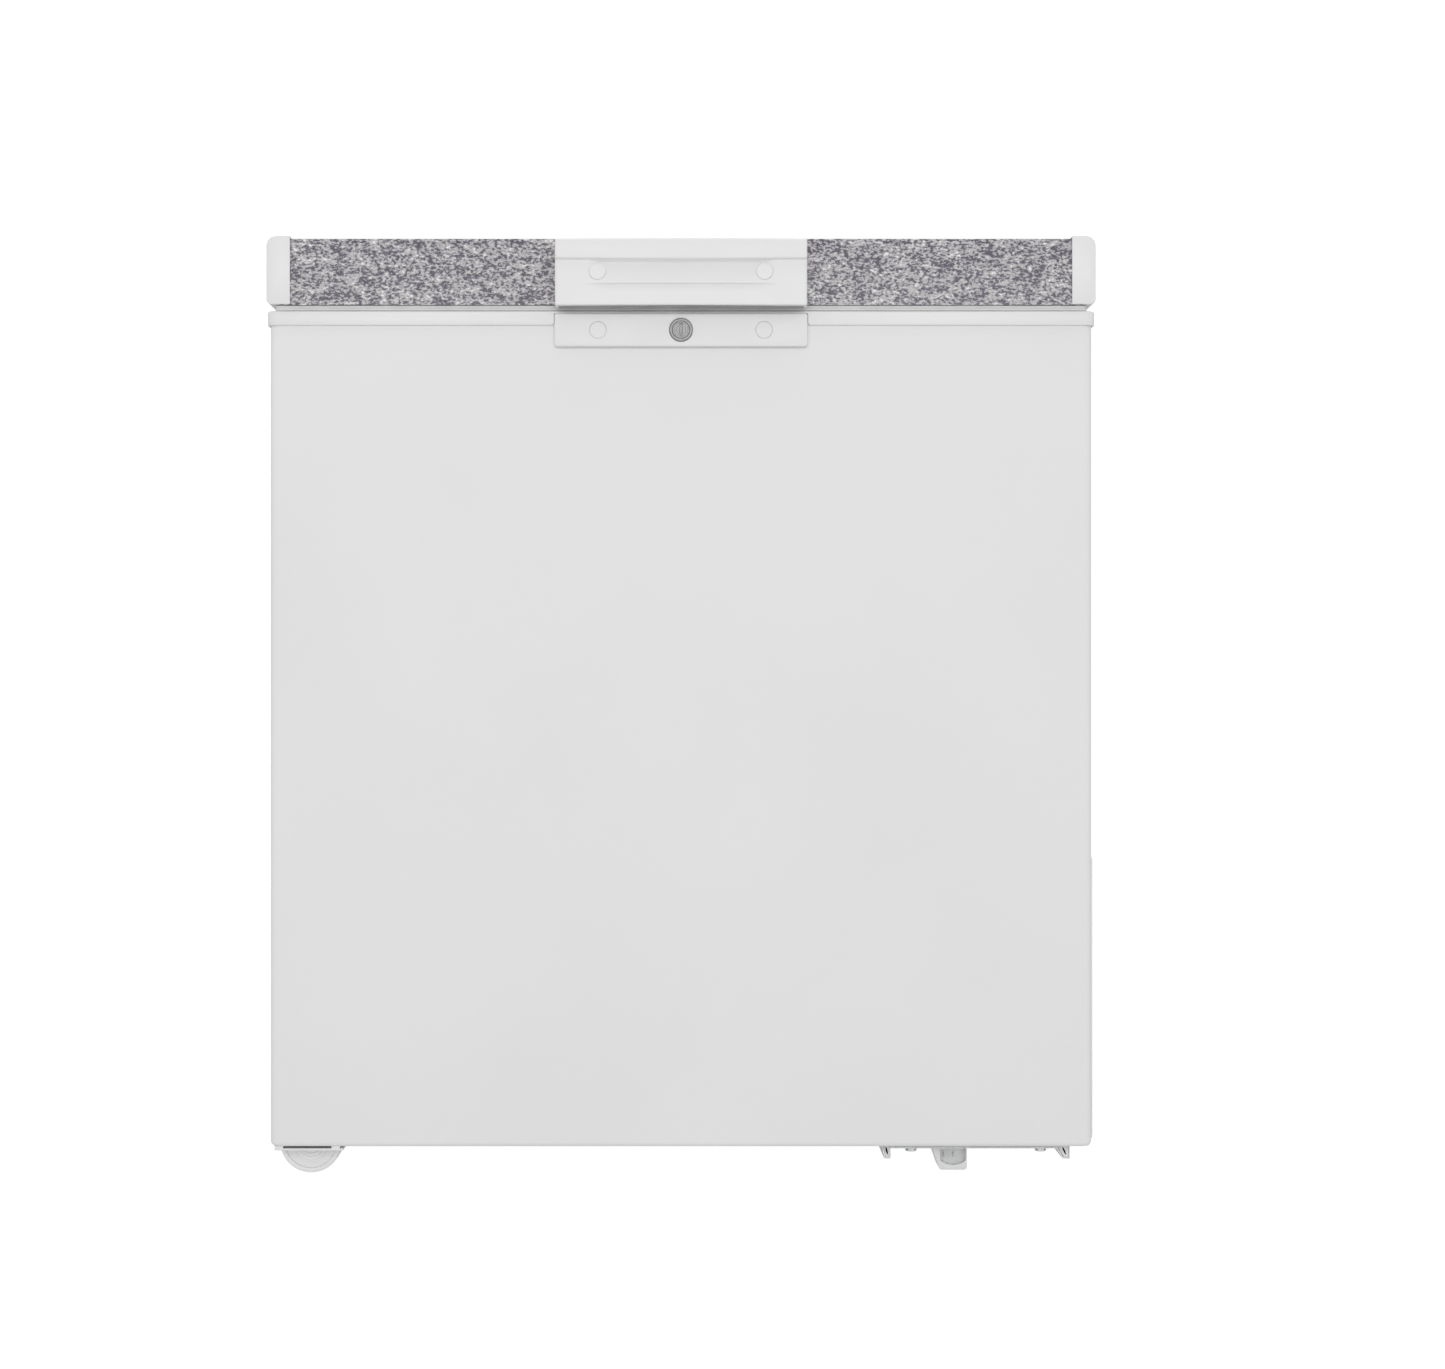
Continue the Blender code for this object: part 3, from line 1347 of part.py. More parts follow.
def lock():
    """The barrel, turned by a key, and the hooked cam that turns with it."""
    front = PLATE_FRONT - 0.0018
    profile = [
        (0.0, -front),
        (LOCK_R - 0.0015, -front),
        (LOCK_R, -front - 0.0010),
        (LOCK_R, -CAM_FRONT + GAP),
        (0.0040, -CAM_FRONT + GAP),
        (0.0040, 0.3290),
        (0.0, 0.3290),
    ]
    barrel = turned("lock_cylinder", profile, (0, 0, LOCK_Z), "Y", LOCK_METAL, steps=32)
    barrel.rotation_euler = (math.pi / 2, 0, 0)
    key_low = (-0.0008, front - 0.001, LOCK_Z - 0.0055)
    cut(barrel, block("cut_keyway", key_low, (0.0008, front + 0.0022, LOCK_Z + 0.0055)))
    reach, hook = 0.030, 0.012
    arm = [
        *arc((0, 0), 0.0075, 90, 330, 10),
        (0.0100, -0.0040),
        (reach, -0.0040),
        (reach, hook),
        (reach - 0.003, hook),
        (reach - 0.003, 0.0040),
        (0.0080, 0.0040),
    ]
    thick = CAM_BACK - CAM_FRONT
    cam = outline_plate(
        "lock_cam", arm, thick, "Y", (0, (CAM_FRONT + CAM_BACK) / 2, LOCK_Z), ZINC_STEEL
    )
    cut(cam, rod("cut_cam_hole", (0, CAM_FRONT, LOCK_Z), 0.0043, 0.02, "Y", sides=32))


# ---------------------------------------------------------------- hinges
def hinge(name, x):
    """One hinge: a base on the cabinet, a leaf on the lid, a pin and a balancing spring."""
    ear_outline = [
        (BODY_REAR + 0.0012, 0.7300),
        (HINGE_Y + 0.0060, 0.7770),
        *arc((HINGE_Y, HINGE_Z), HINGE_R, -20, 180, 8),
        (BODY_REAR + 0.0035, 0.7772),
        (BODY_REAR + 0.0012, 0.7765),
    ]
    base = block(
        f"hinge_base_{name}",
        (x - 0.030, BODY_REAR + GAP, 0.6950),
        (x + 0.030, BODY_REAR + 0.0023, 0.7770),
        ZINC_STEEL,
        [("Y", 0.004, 2)],
    )
    leaf = block(
        f"hinge_leaf_{name}",
        (x - 0.0220, LID_REAR + GAP, 0.8040),
        (x + 0.0220, LID_REAR + 0.0023, 0.8480),
        ZINC_STEEL,
        [("Y", 0.004, 2)],
    )
    leaf_outline = [
        (LID_REAR + 0.0012, 0.8045),
        *arc((HINGE_Y, HINGE_Z), 0.008, 200, 380, 8),
        (LID_REAR + 0.0012, 0.8400),
    ]
    for side in (-1, 1):
        join(
            base,
            outline_plate(f"add_base_ear_{name}_{side}", ear_outline, 0.0025, "X", (x + side * 0.0277, 0, 0)),
        )
        join(
            leaf,
            outline_plate(f"add_leaf_ear_{name}_{side}", leaf_outline, 0.0025, "X", (x + side * 0.0206, 0, 0)),
        )
    hole = rod(f"cut_pin_hole_{name}", (x, HINGE_Y, HINGE_Z), PIN_HOLE_R, 0.08, "X", sides=20)
    cut(base, hole)
    cut(leaf, hole)
    rod(f"hinge_pin_{name}", (x, HINGE_Y, HINGE_Z), PIN_R, 0.062, "X", ZINC_STEEL, 20)
    turns, points, radius, half = 4, 8, 0.0055, 0.015
    coil = []
    for i in range(turns * points + 1):
        angle = math.pi + 2 * math.pi * i / points
        along = x - half + 2 * half * i / (turns * points)
        coil.append((along, HINGE_Y + radius * math.cos(angle), HINGE_Z + radius * math.sin(angle)))
    down = (coil[0][0], coil[0][1], HINGE_Z + 0.008)
    up = (coil[-1][0], coil[-1][1], HINGE_Z - 0.028)
    tube(f"hinge_spring_{name}", [down, *coil, up], 0.0013, ZINC_STEEL, resolution=0)


# ---------------------------------------------------------------- basket
def basket():
    """The hanging basket of coated wire: bows both ways, two rims and a hook at each end."""
    left, right = BASKET_X - BASKET_W / 2, BASKET_X + BASKET_W / 2
    front, rear = BASKET_FRONT, BASKET_REAR
    low, top = BASKET_LOW, BASKET_TOP
    rim_loop = loop_at(left, right, front, rear, top)
    rim = tube("basket", rim_loop, RIM_WIRE_R, BASKET_COAT, closed=True)
    basket_mesh = as_mesh(rim)
    step = (rear - front) / (BASKET_CROSS + 1)
    bow = [(left, 0, top), (left, 0, low), (right, 0, low), (right, 0, top)]
    cross = as_mesh(tube("add_basket_cross", eased(bow, 0.018, 2), WIRE_R, resolution=0))
    cross.location.y = front + step
    repeat(cross, BASKET_CROSS, (0, step, 0))
    join(basket_mesh, cross)
    step = BASKET_W / (BASKET_LONG + 1)
    bow = [(0, front, top), (0, front, low + WIRE_R), (0, rear, low + WIRE_R), (0, rear, top)]
    long = as_mesh(tube("add_basket_long", eased(bow, 0.018, 2), WIRE_R, resolution=0))
    long.location.x = left + step
    repeat(long, BASKET_LONG, (step, 0, 0))
    join(basket_mesh, long)
    middle = loop_at(left, right, front, rear, (low + top) / 2)
    ring = tube("add_basket_middle", middle, MIDDLE_WIRE_R, resolution=0, closed=True)
    join(basket_mesh, as_mesh(ring))
    hang = COLLAR_TOP + GAP + RIM_WIRE_R
    for end, edge in ((-1, front), (1, rear)):
        out = edge + end * 0.024
        x0, x1 = BASKET_X - 0.070, BASKET_X + 0.070
        hook = [(x0, edge, top), (x0, edge, hang), (x0, out, hang)]
        hook += [(x1, y, z) for _, y, z in reversed(hook)]
        join(basket_mesh, as_mesh(tube(f"add_hook_{end}", eased(hook, 0.007, 2), RIM_WIRE_R)))


def loop_at(left, right, front, rear, z):
    """A closed rectangle of wire with rounded corners. The last point meets the first."""
    middle = ((left + right) / 2 + 0.004, front, z)
    corners = [(left, front, z), (left, rear, z), (right, rear, z), (right, front, z)]
    return eased([middle, *corners, middle], 0.020, 2)[1:]


def as_mesh(drawn):
    """Turn a curve into a mesh object of the same name, ready for Boolean work."""
    name = drawn.name
    look = drawn.data.materials[0] if drawn.data.materials else None
    bpy.context.view_layer.update()
    mesh = bpy.data.meshes.new_from_object(
        drawn.evaluated_get(bpy.context.evaluated_depsgraph_get())
    )
    bpy.data.objects.remove(drawn)
    bm = bmesh.new()
    bm.from_mesh(mesh)
    bmesh.ops.remove_doubles(bm, verts=bm.verts, dist=0.00001)
    mesh = finish_mesh(bm, name)
    return place(name, mesh, look)


outer_shell()
bottom_plate()
compartment_wall()
cabinet_foam()
inner_liner()
top_collar()
roller("front", -1)
roller("rear", 1)
compressor_tray()
foot("front_foot", -1)
foot("rear_foot", 1)
evaporator_tube()
condenser_tube()
compressor()
terminal_cover()
cooling_lines()
side_panel()
controls()
rear_cover()
drain()
lid_skin()
lid_side("lid_side_left", -1)
lid_side("lid_side_right", 1)
lid_insides()
lid_gasket()
lid_handle()
lock_striker()
lock_plate()
lock()
hinge("left", -HINGE_X)
hinge("right", HINGE_X)
basket()
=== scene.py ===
"""The look of the chest freezer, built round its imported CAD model, in metres."""

import json
import math

import bmesh
import bpy
from mathutils import Matrix, Vector


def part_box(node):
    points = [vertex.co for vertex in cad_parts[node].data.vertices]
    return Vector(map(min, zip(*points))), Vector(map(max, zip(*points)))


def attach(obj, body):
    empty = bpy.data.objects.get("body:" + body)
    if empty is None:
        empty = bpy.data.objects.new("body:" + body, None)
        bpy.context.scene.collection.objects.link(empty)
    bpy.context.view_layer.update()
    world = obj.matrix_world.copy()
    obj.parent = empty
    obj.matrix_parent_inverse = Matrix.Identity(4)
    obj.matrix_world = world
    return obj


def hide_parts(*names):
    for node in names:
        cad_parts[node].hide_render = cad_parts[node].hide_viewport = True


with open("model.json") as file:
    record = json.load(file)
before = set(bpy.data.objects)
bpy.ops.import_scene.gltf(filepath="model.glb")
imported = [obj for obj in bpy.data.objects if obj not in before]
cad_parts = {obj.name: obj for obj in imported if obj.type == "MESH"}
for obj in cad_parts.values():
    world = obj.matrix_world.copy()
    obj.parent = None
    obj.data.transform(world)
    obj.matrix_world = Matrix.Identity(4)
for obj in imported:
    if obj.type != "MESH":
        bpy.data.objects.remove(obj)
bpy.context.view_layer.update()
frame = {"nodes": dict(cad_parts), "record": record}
NODES = frame["nodes"]

# ---------------------------------------------------------------- camera
EYE_HEIGHT = 0.4516
EYE_DISTANCE = 2.750
LENS = 75.14
SHIFT_X = 0.0287

# ---------------------------------------------------------------- light levels
ROOM_LIGHT = 0.532
FLOOR_HALF = 14.0
FLOOR_GLOW = 0.503
FLOOR_BOUNCE = 0.15
KEY_POWER = 300
SIDE_POWER = 36
TOP_POWER = 40

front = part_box("outer_shell")[0].y
camera_data = bpy.data.cameras.new("camera")
camera_data.lens = LENS
camera_data.sensor_width = 36
camera_data.shift_x = SHIFT_X
camera = bpy.data.objects.new("camera", camera_data)
camera.location = (0, front - EYE_DISTANCE, EYE_HEIGHT)
camera.rotation_euler = (math.pi / 2, 0, 0)
bpy.context.scene.collection.objects.link(camera)
bpy.context.scene.camera = camera
bpy.context.scene.view_settings.view_transform = "Standard"


# ---------------------------------------------------------------- materials
class Paint:
    """A Principled material, built up from procedural nodes in the object's own space."""

    def __init__(self, name, colour, roughness, metallic=0.0, coat=0.0, specular=0.5):
        self.material = bpy.data.materials.new(name)
        self.material.use_nodes = True
        self.nodes = self.material.node_tree.nodes
        self.links = self.material.node_tree.links
        self.shader = self.nodes["Principled BSDF"]
        self.shader.inputs["Base Color"].default_value = (*colour, 1)
        self.shader.inputs["Roughness"].default_value = roughness
        self.shader.inputs["Metallic"].default_value = metallic
        self.shader.inputs["Coat Weight"].default_value = coat
        self.shader.inputs["Specular IOR Level"].default_value = specular
        self.material.diffuse_color = (*colour, 1)
        self.place = self.nodes.new("ShaderNodeTexCoord").outputs["Object"]
        self.height = None

    def stretched(self, scale):
        mapping = self.nodes.new("ShaderNodeMapping")
        mapping.inputs["Scale"].default_value = scale
        self.links.new(self.place, mapping.inputs["Vector"])
        return mapping.outputs["Vector"]

    def noise(self, scale, detail=3.0, stretch=None, distortion=0.0, roughness=0.5):
        node = self.nodes.new("ShaderNodeTexNoise")
        node.inputs["Scale"].default_value = scale
        node.inputs["Detail"].default_value = detail
        node.inputs["Roughness"].default_value = roughness
        node.inputs["Distortion"].default_value = distortion
        self.links.new(self.stretched(stretch) if stretch else self.place, node.inputs["Vector"])
        return node.outputs["Fac"]

    def cells(self, scale, feature="F1"):
        node = self.nodes.new("ShaderNodeTexVoronoi")
        node.feature = feature
        node.inputs["Scale"].default_value = scale
        self.links.new(self.place, node.inputs["Vector"])
        return node.outputs["Distance"]

    def ramp(self, value, stops):
        """stops holds (position, colour or grey)."""
        node = self.nodes.new("ShaderNodeValToRGB")
        elements = node.color_ramp.elements
        while len(elements) < len(stops):
            elements.new(0.5)
        for element, (position, shade) in zip(elements, stops):
            element.position = position
            rgb = shade if isinstance(shade, tuple) else (shade, shade, shade)
            element.color = (*rgb, 1)
        self.links.new(value, node.inputs["Fac"])
        return node.outputs["Color"]

    def blend(self, mode, factor, first, second):
        node = self.nodes.new("ShaderNodeMix")
        node.data_type = "RGBA"
        node.blend_type = mode
        for socket, value in ((node.inputs[0], factor), (node.inputs[6], first), (node.inputs[7], second)):
            if isinstance(value, bpy.types.NodeSocket):
                self.links.new(value, socket)
            elif isinstance(value, tuple):
                socket.default_value = (*value, 1)
            else:
                socket.default_value = value
        return node.outputs[2]

    def colour(self, value):
        self.links.new(value, self.shader.inputs["Base Color"])
        return self

    def rough(self, value, low, high):
        node = self.nodes.new("ShaderNodeMapRange")
        node.inputs["To Min"].default_value = low
        node.inputs["To Max"].default_value = high
        self.links.new(value, node.inputs["Value"])
        self.links.new(node.outputs["Result"], self.shader.inputs["Roughness"])
        return self

    def bump(self, value, distance, strength=1.0):
        """Adds relief, distance deep. Later calls add to earlier ones."""
        node = self.nodes.new("ShaderNodeBump")
        node.inputs["Distance"].default_value = distance
        node.inputs["Strength"].default_value = strength
        self.links.new(value, node.inputs["Height"])
        if self.height is not None:
            self.links.new(self.height, node.inputs["Normal"])
        self.height = node.outputs["Normal"]
        self.links.new(self.height, self.shader.inputs["Normal"])
        return self


def varied(paint, colour, amount, scale):
    """Colour that drifts a little darker and lighter over the surface."""
    low = tuple(c * (1 - amount) for c in colour)
    high = tuple(min(1.0, c * (1 + amount)) for c in colour)
    return paint.colour(paint.ramp(paint.noise(scale, 4), [(0.3, low), (0.7, high)]))


def painted_steel():
    white = (0.797, 0.797, 0.797)
    paint = Paint("painted_steel", white, 0.40, specular=0.15)
    varied(paint, white, 0.012, 5)
    paint.rough(paint.noise(14, 4), 0.34, 0.46)
    paint.bump(paint.noise(420, 2), 0.00005, 0.20)
    return paint.bump(paint.noise(28, 1), 0.0004, 0.06).material


def patterned_sheet():
    """A printed film of pale and mauve-grey flecks, longer across than up."""
    paint = Paint("patterned_sheet", (0.36, 0.34, 0.37), 0.45)
    stretch = (0.60, 1.0, 1.0)
    dark, middle = (0.085, 0.075, 0.105), (0.215, 0.200, 0.238)
    pale, white = (0.465, 0.447, 0.453), (0.84, 0.83, 0.84)
    flecks = paint.noise(470, 5.0, stretch, 0.4, 0.66)
    drift = paint.noise(120, 2.0, stretch, 0.6)
    mixed = paint.blend("LINEAR_LIGHT", 0.16, flecks, drift)
    print_stops = [(0.430, dark), (0.485, middle), (0.520, pale), (0.600, pale), (0.665, white)]
    paint.colour(paint.ramp(mixed, print_stops))
    paint.rough(flecks, 0.38, 0.52)
    return paint.bump(flecks, 0.00005, 0.4).material


def moulded(name, colour, roughness, grain=2200, depth=0.00003):
    paint = Paint(name, colour, roughness)
    varied(paint, colour, 0.012, 9)
    paint.rough(paint.noise(40, 3), roughness - 0.05, roughness + 0.06)
    paint.bump(paint.noise(grain, 2), depth, 0.5)
    return paint.bump(paint.noise(30, 1), 0.0003, 0.08).material


def embossed_aluminium():
    bright = (0.86, 0.87, 0.88)
    paint = Paint("embossed_aluminium", bright, 0.30, metallic=1.0)
    varied(paint, bright, 0.04, 30)
    paint.rough(paint.noise(60, 4), 0.22, 0.40)
    pebbles = paint.cells(150, "SMOOTH_F1")
    paint.bump(pebbles, 0.0006, 0.55)
    return paint.bump(paint.noise(900, 2), 0.00004, 0.3).material


def zinc_plated():
    grey = (0.62, 0.63, 0.64)
    paint = Paint("zinc_plated", grey, 0.42, metallic=0.55)
    spangle = paint.cells(260)
    tone = paint.ramp(spangle, [(0.0, (0.54, 0.55, 0.56)), (1.0, (0.70, 0.71, 0.72))])
    stain = paint.ramp(paint.noise(22, 5), [(0.60, 1.0), (0.85, (0.88, 0.86, 0.80))])
    paint.colour(paint.blend("MULTIPLY", 1.0, tone, stain))
    paint.rough(paint.noise(90, 4), 0.34, 0.54)
    return paint.bump(paint.noise(700, 3), 0.00004, 0.4).material


def cast_lock():
    grey = (0.305, 0.305, 0.31)
    paint = Paint("cast_lock", grey, 0.42, metallic=0.45)
    varied(paint, grey, 0.08, 400)
    paint.rough(paint.noise(900, 3), 0.36, 0.52)
    return paint.bump(paint.noise(2600, 2), 0.00003, 0.5).material


def black_enamel():
    paint = Paint("black_enamel", (0.022, 0.022, 0.024), 0.32, coat=0.4)
    dust = paint.ramp(paint.noise(34, 5), [(0.50, (0.020, 0.020, 0.022)), (0.82, (0.10, 0.095, 0.085))])
    paint.colour(dust)
    paint.rough(paint.noise(34, 5), 0.26, 0.60)
    return paint.bump(paint.noise(380, 2), 0.00012, 0.5).material


def drawn_copper():
    paint = Paint("drawn_copper", (0.78, 0.42, 0.26), 0.28, metallic=1.0)
    tarnish = [(0.35, (0.80, 0.44, 0.28)), (0.60, (0.62, 0.32, 0.19)), (0.85, (0.36, 0.22, 0.16))]
    paint.colour(paint.ramp(paint.noise(60, 5), tarnish))
    paint.rough(paint.noise(150, 4), 0.22, 0.50)
    return paint.bump(paint.noise(1200, 2), 0.00003, 0.4).material


def soft(name, colour, roughness, grain):
    paint = Paint(name, colour, roughness, specular=0.3)
    varied(paint, colour, 0.05, 60)
    paint.rough(paint.noise(120, 3), roughness - 0.08, roughness + 0.08)
    return paint.bump(paint.noise(grain, 3), 0.00008, 0.5).material


def rigid_foam():
    paint = Paint("rigid_foam", (0.80, 0.70, 0.48), 0.92, specular=0.1)
    varied(paint, (0.80, 0.70, 0.48), 0.10, 25)
    paint.bump(paint.cells(900), 0.0004, 0.8)
    return paint.bump(paint.noise(40, 4), 0.0010, 0.5).material


def lens(name, colour):
    paint = Paint(name, colour, 0.12, coat=0.6)
    varied(paint, colour, 0.15, 500)
    paint.shader.inputs["Emission Color"].default_value = (*colour, 1)
    paint.shader.inputs["Emission Strength"].default_value = 0.15
    return paint.bump(paint.cells(1400), 0.00010, 0.5).material


LOOKS = {
    "white_steel": painted_steel(),
    "pattern_steel": patterned_sheet(),
    "white_plastic": moulded("white_moulding", (0.775, 0.777, 0.776), 0.42),
    "gasket_vinyl": soft("gasket_vinyl", (0.72, 0.72, 0.715), 0.55, 1400),
    "liner_aluminium": embossed_aluminium(),
    "foam": rigid_foam(),
    "zinc_steel": zinc_plated(),
    "compressor_shell": black_enamel(),
    "black_plastic": moulded("black_moulding", (0.035, 0.035, 0.037), 0.50),
    "copper": drawn_copper(),
    "rubber": soft("black_rubber", (0.035, 0.035, 0.036), 0.75, 900),
    "grey_plastic": moulded("grey_moulding", (0.26, 0.27, 0.28), 0.42),
    "lock_metal": cast_lock(),
    "roller_plastic": moulded("roller_moulding", (0.80, 0.80, 0.80), 0.45, 1500, 0.00005),
    "switch_orange": moulded("orange_moulding", (0.80, 0.26, 0.04), 0.34),
    "green_lens": lens("green_lens", (0.05, 0.55, 0.12)),
    "red_lens": lens("red_lens", (0.65, 0.04, 0.03)),
    "basket_coat": soft("dipped_coat", (0.78, 0.78, 0.78), 0.36, 260),
}
SLOTS = {row["node"]: row["material_slot"] for row in frame["record"]["subparts"]}


# ---------------------------------------------------------------- CAD nodes, softened
def smoothing_group():
    """Geometry nodes that shade smooth across shallow edges and keep the sharp ones."""
    group = bpy.data.node_groups.new("smooth_shallow_edges", "GeometryNodeTree")
    group.interface.new_socket("Geometry", in_out="INPUT", socket_type="NodeSocketGeometry")
    group.interface.new_socket("Geometry", in_out="OUTPUT", socket_type="NodeSocketGeometry")
    add = group.nodes.new
    entry, leave = add("NodeGroupInput"), add("NodeGroupOutput")
    faces, edges = add("GeometryNodeSetShadeSmooth"), add("GeometryNodeSetShadeSmooth")
    edges.domain = "EDGE"
    edges.inputs["Shade Smooth"].default_value = False
    angle, steep = add("GeometryNodeInputMeshEdgeAngle"), add("FunctionNodeCompare")
    steep.data_type = "FLOAT"
    steep.operation = "GREATER_THAN"
    steep.inputs[1].default_value = math.radians(38)
    group.links.new(angle.outputs["Unsigned Angle"], steep.inputs[0])
    group.links.new(entry.outputs[0], faces.inputs["Geometry"])
    group.links.new(faces.outputs["Geometry"], edges.inputs["Geometry"])
    group.links.new(steep.outputs[0], edges.inputs["Selection"])
    group.links.new(edges.outputs["Geometry"], leave.inputs[0])
    return group


SMOOTHING = smoothing_group()


def smooth(piece):
    """Shades a piece smooth, but for its sharp edges."""
    modifier = piece.modifiers.new("smooth", "NODES")
    modifier.node_group = SMOOTHING
    return piece


def soften(piece, width):
    """Takes the knife edge off a CAD node, so that its edges catch the light."""
    weld = piece.modifiers.new("weld", "WELD")
    weld.merge_threshold = 0.00001
    if width:
        flat = piece.modifiers.new("flat", "DECIMATE")
        flat.decimate_type = "DISSOLVE"
        flat.angle_limit = math.radians(0.5)
        bevel = piece.modifiers.new("edge", "BEVEL")
        bevel.width = width
        bevel.segments = 2
        bevel.limit_method = "ANGLE"
        bevel.angle_limit = math.radians(50)
        bevel.use_clamp_overlap = True
    return smooth(piece)


EDGES = {
    "top_collar": 0.0006,
    "lid_side_left": 0.0007,
    "lid_side_right": 0.0007,
    "front_foot": 0.0007,
    "rear_foot": 0.0007,
    "roller_housing_front": 0.0004,
    "roller_housing_rear": 0.0004,
    "thermostat_dial": 0.0005,
    "fast_freeze_switch": 0.0004,
    "terminal_cover": 0.0006,
    "lid_liner": 0.0004,
}
for node, cad in NODES.items():
    cad.data.materials.clear()
    cad.data.materials.append(LOOKS[SLOTS[node]])
    soften(cad, EDGES.get(node, 0.0))


# ---------------------------------------------------------------- piece helpers
def as_object(bm, name):
    """A scene object made of the bmesh's faces. The bmesh is freed."""
    mesh = bpy.data.meshes.new(name)
    bm.to_mesh(mesh)
    bm.free()
    made = bpy.data.objects.new(name, mesh)
    bpy.context.scene.collection.objects.link(made)
    return made


def piece_from(bm, name, body, slot, replaces=()):
    bmesh.ops.recalc_face_normals(bm, faces=bm.faces)
    return settled(as_object(bm, name), body, slot, replaces)


def settled(piece, body, slot, replaces=()):
    """Links a piece, gives it its material and puts it on its body."""
    if piece.name not in bpy.context.scene.collection.objects:
        bpy.context.scene.collection.objects.link(piece)
    piece.data.materials.append(LOOKS[slot])
    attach(piece, body)
    if replaces:
        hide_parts(*replaces)
    return piece


def arc(centre, radius, start, end, steps):
    found = []
    for i in range(steps + 1):
        angle = math.radians(start + (end - start) * i / steps)
        found.append(
            (centre[0] + radius * math.cos(angle), centre[1] + radius * math.sin(angle))
        )
    return found


def loft(bm, rings, closed=False, caps=True):
    """Faces between rings of points, each ring with as many points as the next."""
    rows = [[bm.verts.new(point) for point in ring] for ring in rings]
    pairs = list(zip(rows, rows[1:]))
    if closed:
        pairs.append((rows[-1], rows[0]))
    for first, second in pairs:
        count = len(first)
        for i in range(count):
            j = (i + 1) % count
            bm.faces.new((first[i], first[j], second[j], second[i]))
    if caps and not closed:
        bm.faces.new(rows[0])
        bm.faces.new(rows[-1][::-1])


def turned(profile, steps):
    """The surface that (radius, height) points sweep about Z."""
    bm = bmesh.new()
    verts = [bm.verts.new((radius, 0, height)) for radius, height in profile]
    edges = [bm.edges.new(pair) for pair in zip(verts, verts[1:])]
    bmesh.ops.spin(
        bm,
        geom=verts + edges,
        cent=(0, 0, 0),
        axis=(0, 0, 1),
        angle=2 * math.pi,
        steps=steps,
        use_merge=True,
        use_normal_flip=False,
    )
    bmesh.ops.remove_doubles(bm, verts=bm.verts, dist=0.000001)
    return bm


def lathe(name, profile, centre, axis, body, slot, replaces=(), steps=64):
    """A solid turned about an axis (X, Y or Z) from (radius, height) points."""
    turn = {
        "X": Matrix.Rotation(math.pi / 2, 3, "Y"),
        "Y": Matrix.Rotation(math.pi / 2, 3, "X"),
        "Z": Matrix.Identity(3),
    }[axis]
    bm = turned(profile, steps)
    bmesh.ops.transform(
        bm, matrix=Matrix.Translation(centre) @ turn.to_4x4(), verts=bm.verts
    )
    return smooth(piece_from(bm, name, body, slot, replaces))


def bake(piece):
    """Replaces a piece's mesh by what its modifiers make of it."""
    bpy.context.view_layer.update()
    made = bpy.data.meshes.new_from_object(
        piece.evaluated_get(bpy.context.evaluated_depsgraph_get())
    )
    piece.modifiers.clear()
    piece.data = made


def carve(piece, cutter_bm):
    """Cuts a shape out of a piece for good."""
    bmesh.ops.recalc_face_normals(cutter_bm, faces=cutter_bm.faces)
    cutter = as_object(cutter_bm, "cutter")
    boolean = piece.modifiers.new("carve", "BOOLEAN")
    boolean.operation = "DIFFERENCE"
    boolean.solver = "EXACT"
    boolean.object = cutter
    bake(piece)
    bpy.data.objects.remove(cutter)


def cylinder(bm, centre, radius, length, steps=64):
    """A cylinder along Y, added to a cutter."""
    place_at = Matrix.Translation(centre) @ Matrix.Rotation(math.pi / 2, 4, "X")
    bmesh.ops.create_cone(
        bm, cap_ends=True, segments=steps, radius1=radius, radius2=radius, depth=length, matrix=place_at
    )


def box_shape(bm, low, high):
    size = [h - l for l, h in zip(low, high)]
    centre = [(l + h) / 2 for l, h in zip(low, high)]
    place_at = Matrix.Translation(centre) @ Matrix.Diagonal((*size, 1))
    bmesh.ops.create_cube(bm, size=1, matrix=place_at)


# ---------------------------------------------------------------- handle
HANDLE_BOW = 0.0035
BROW_LOW = 0.8362
BROW_SAG = 0.0011
BROW_STEP = 0.0020
SCOOP_LOW = 0.8140
SCOOP_HALF = 0.092
SCOOP_FLAT = 0.062
SCOOP_DEPTH = 0.0030
HANDLE_WALL = 0.0026
FIXING_X = 0.0755
FIXING_HOLE = 0.0079
FIXING_CUT = 0.0024
HANDLE_FIXING_Z = 0.8248


def bow(x, half, rise):
    """How far a bar's bowed front has fallen back at x from its middle."""
    radius = (half * half + rise * rise) / (2 * rise)
    return radius - math.sqrt(radius * radius - x * x)


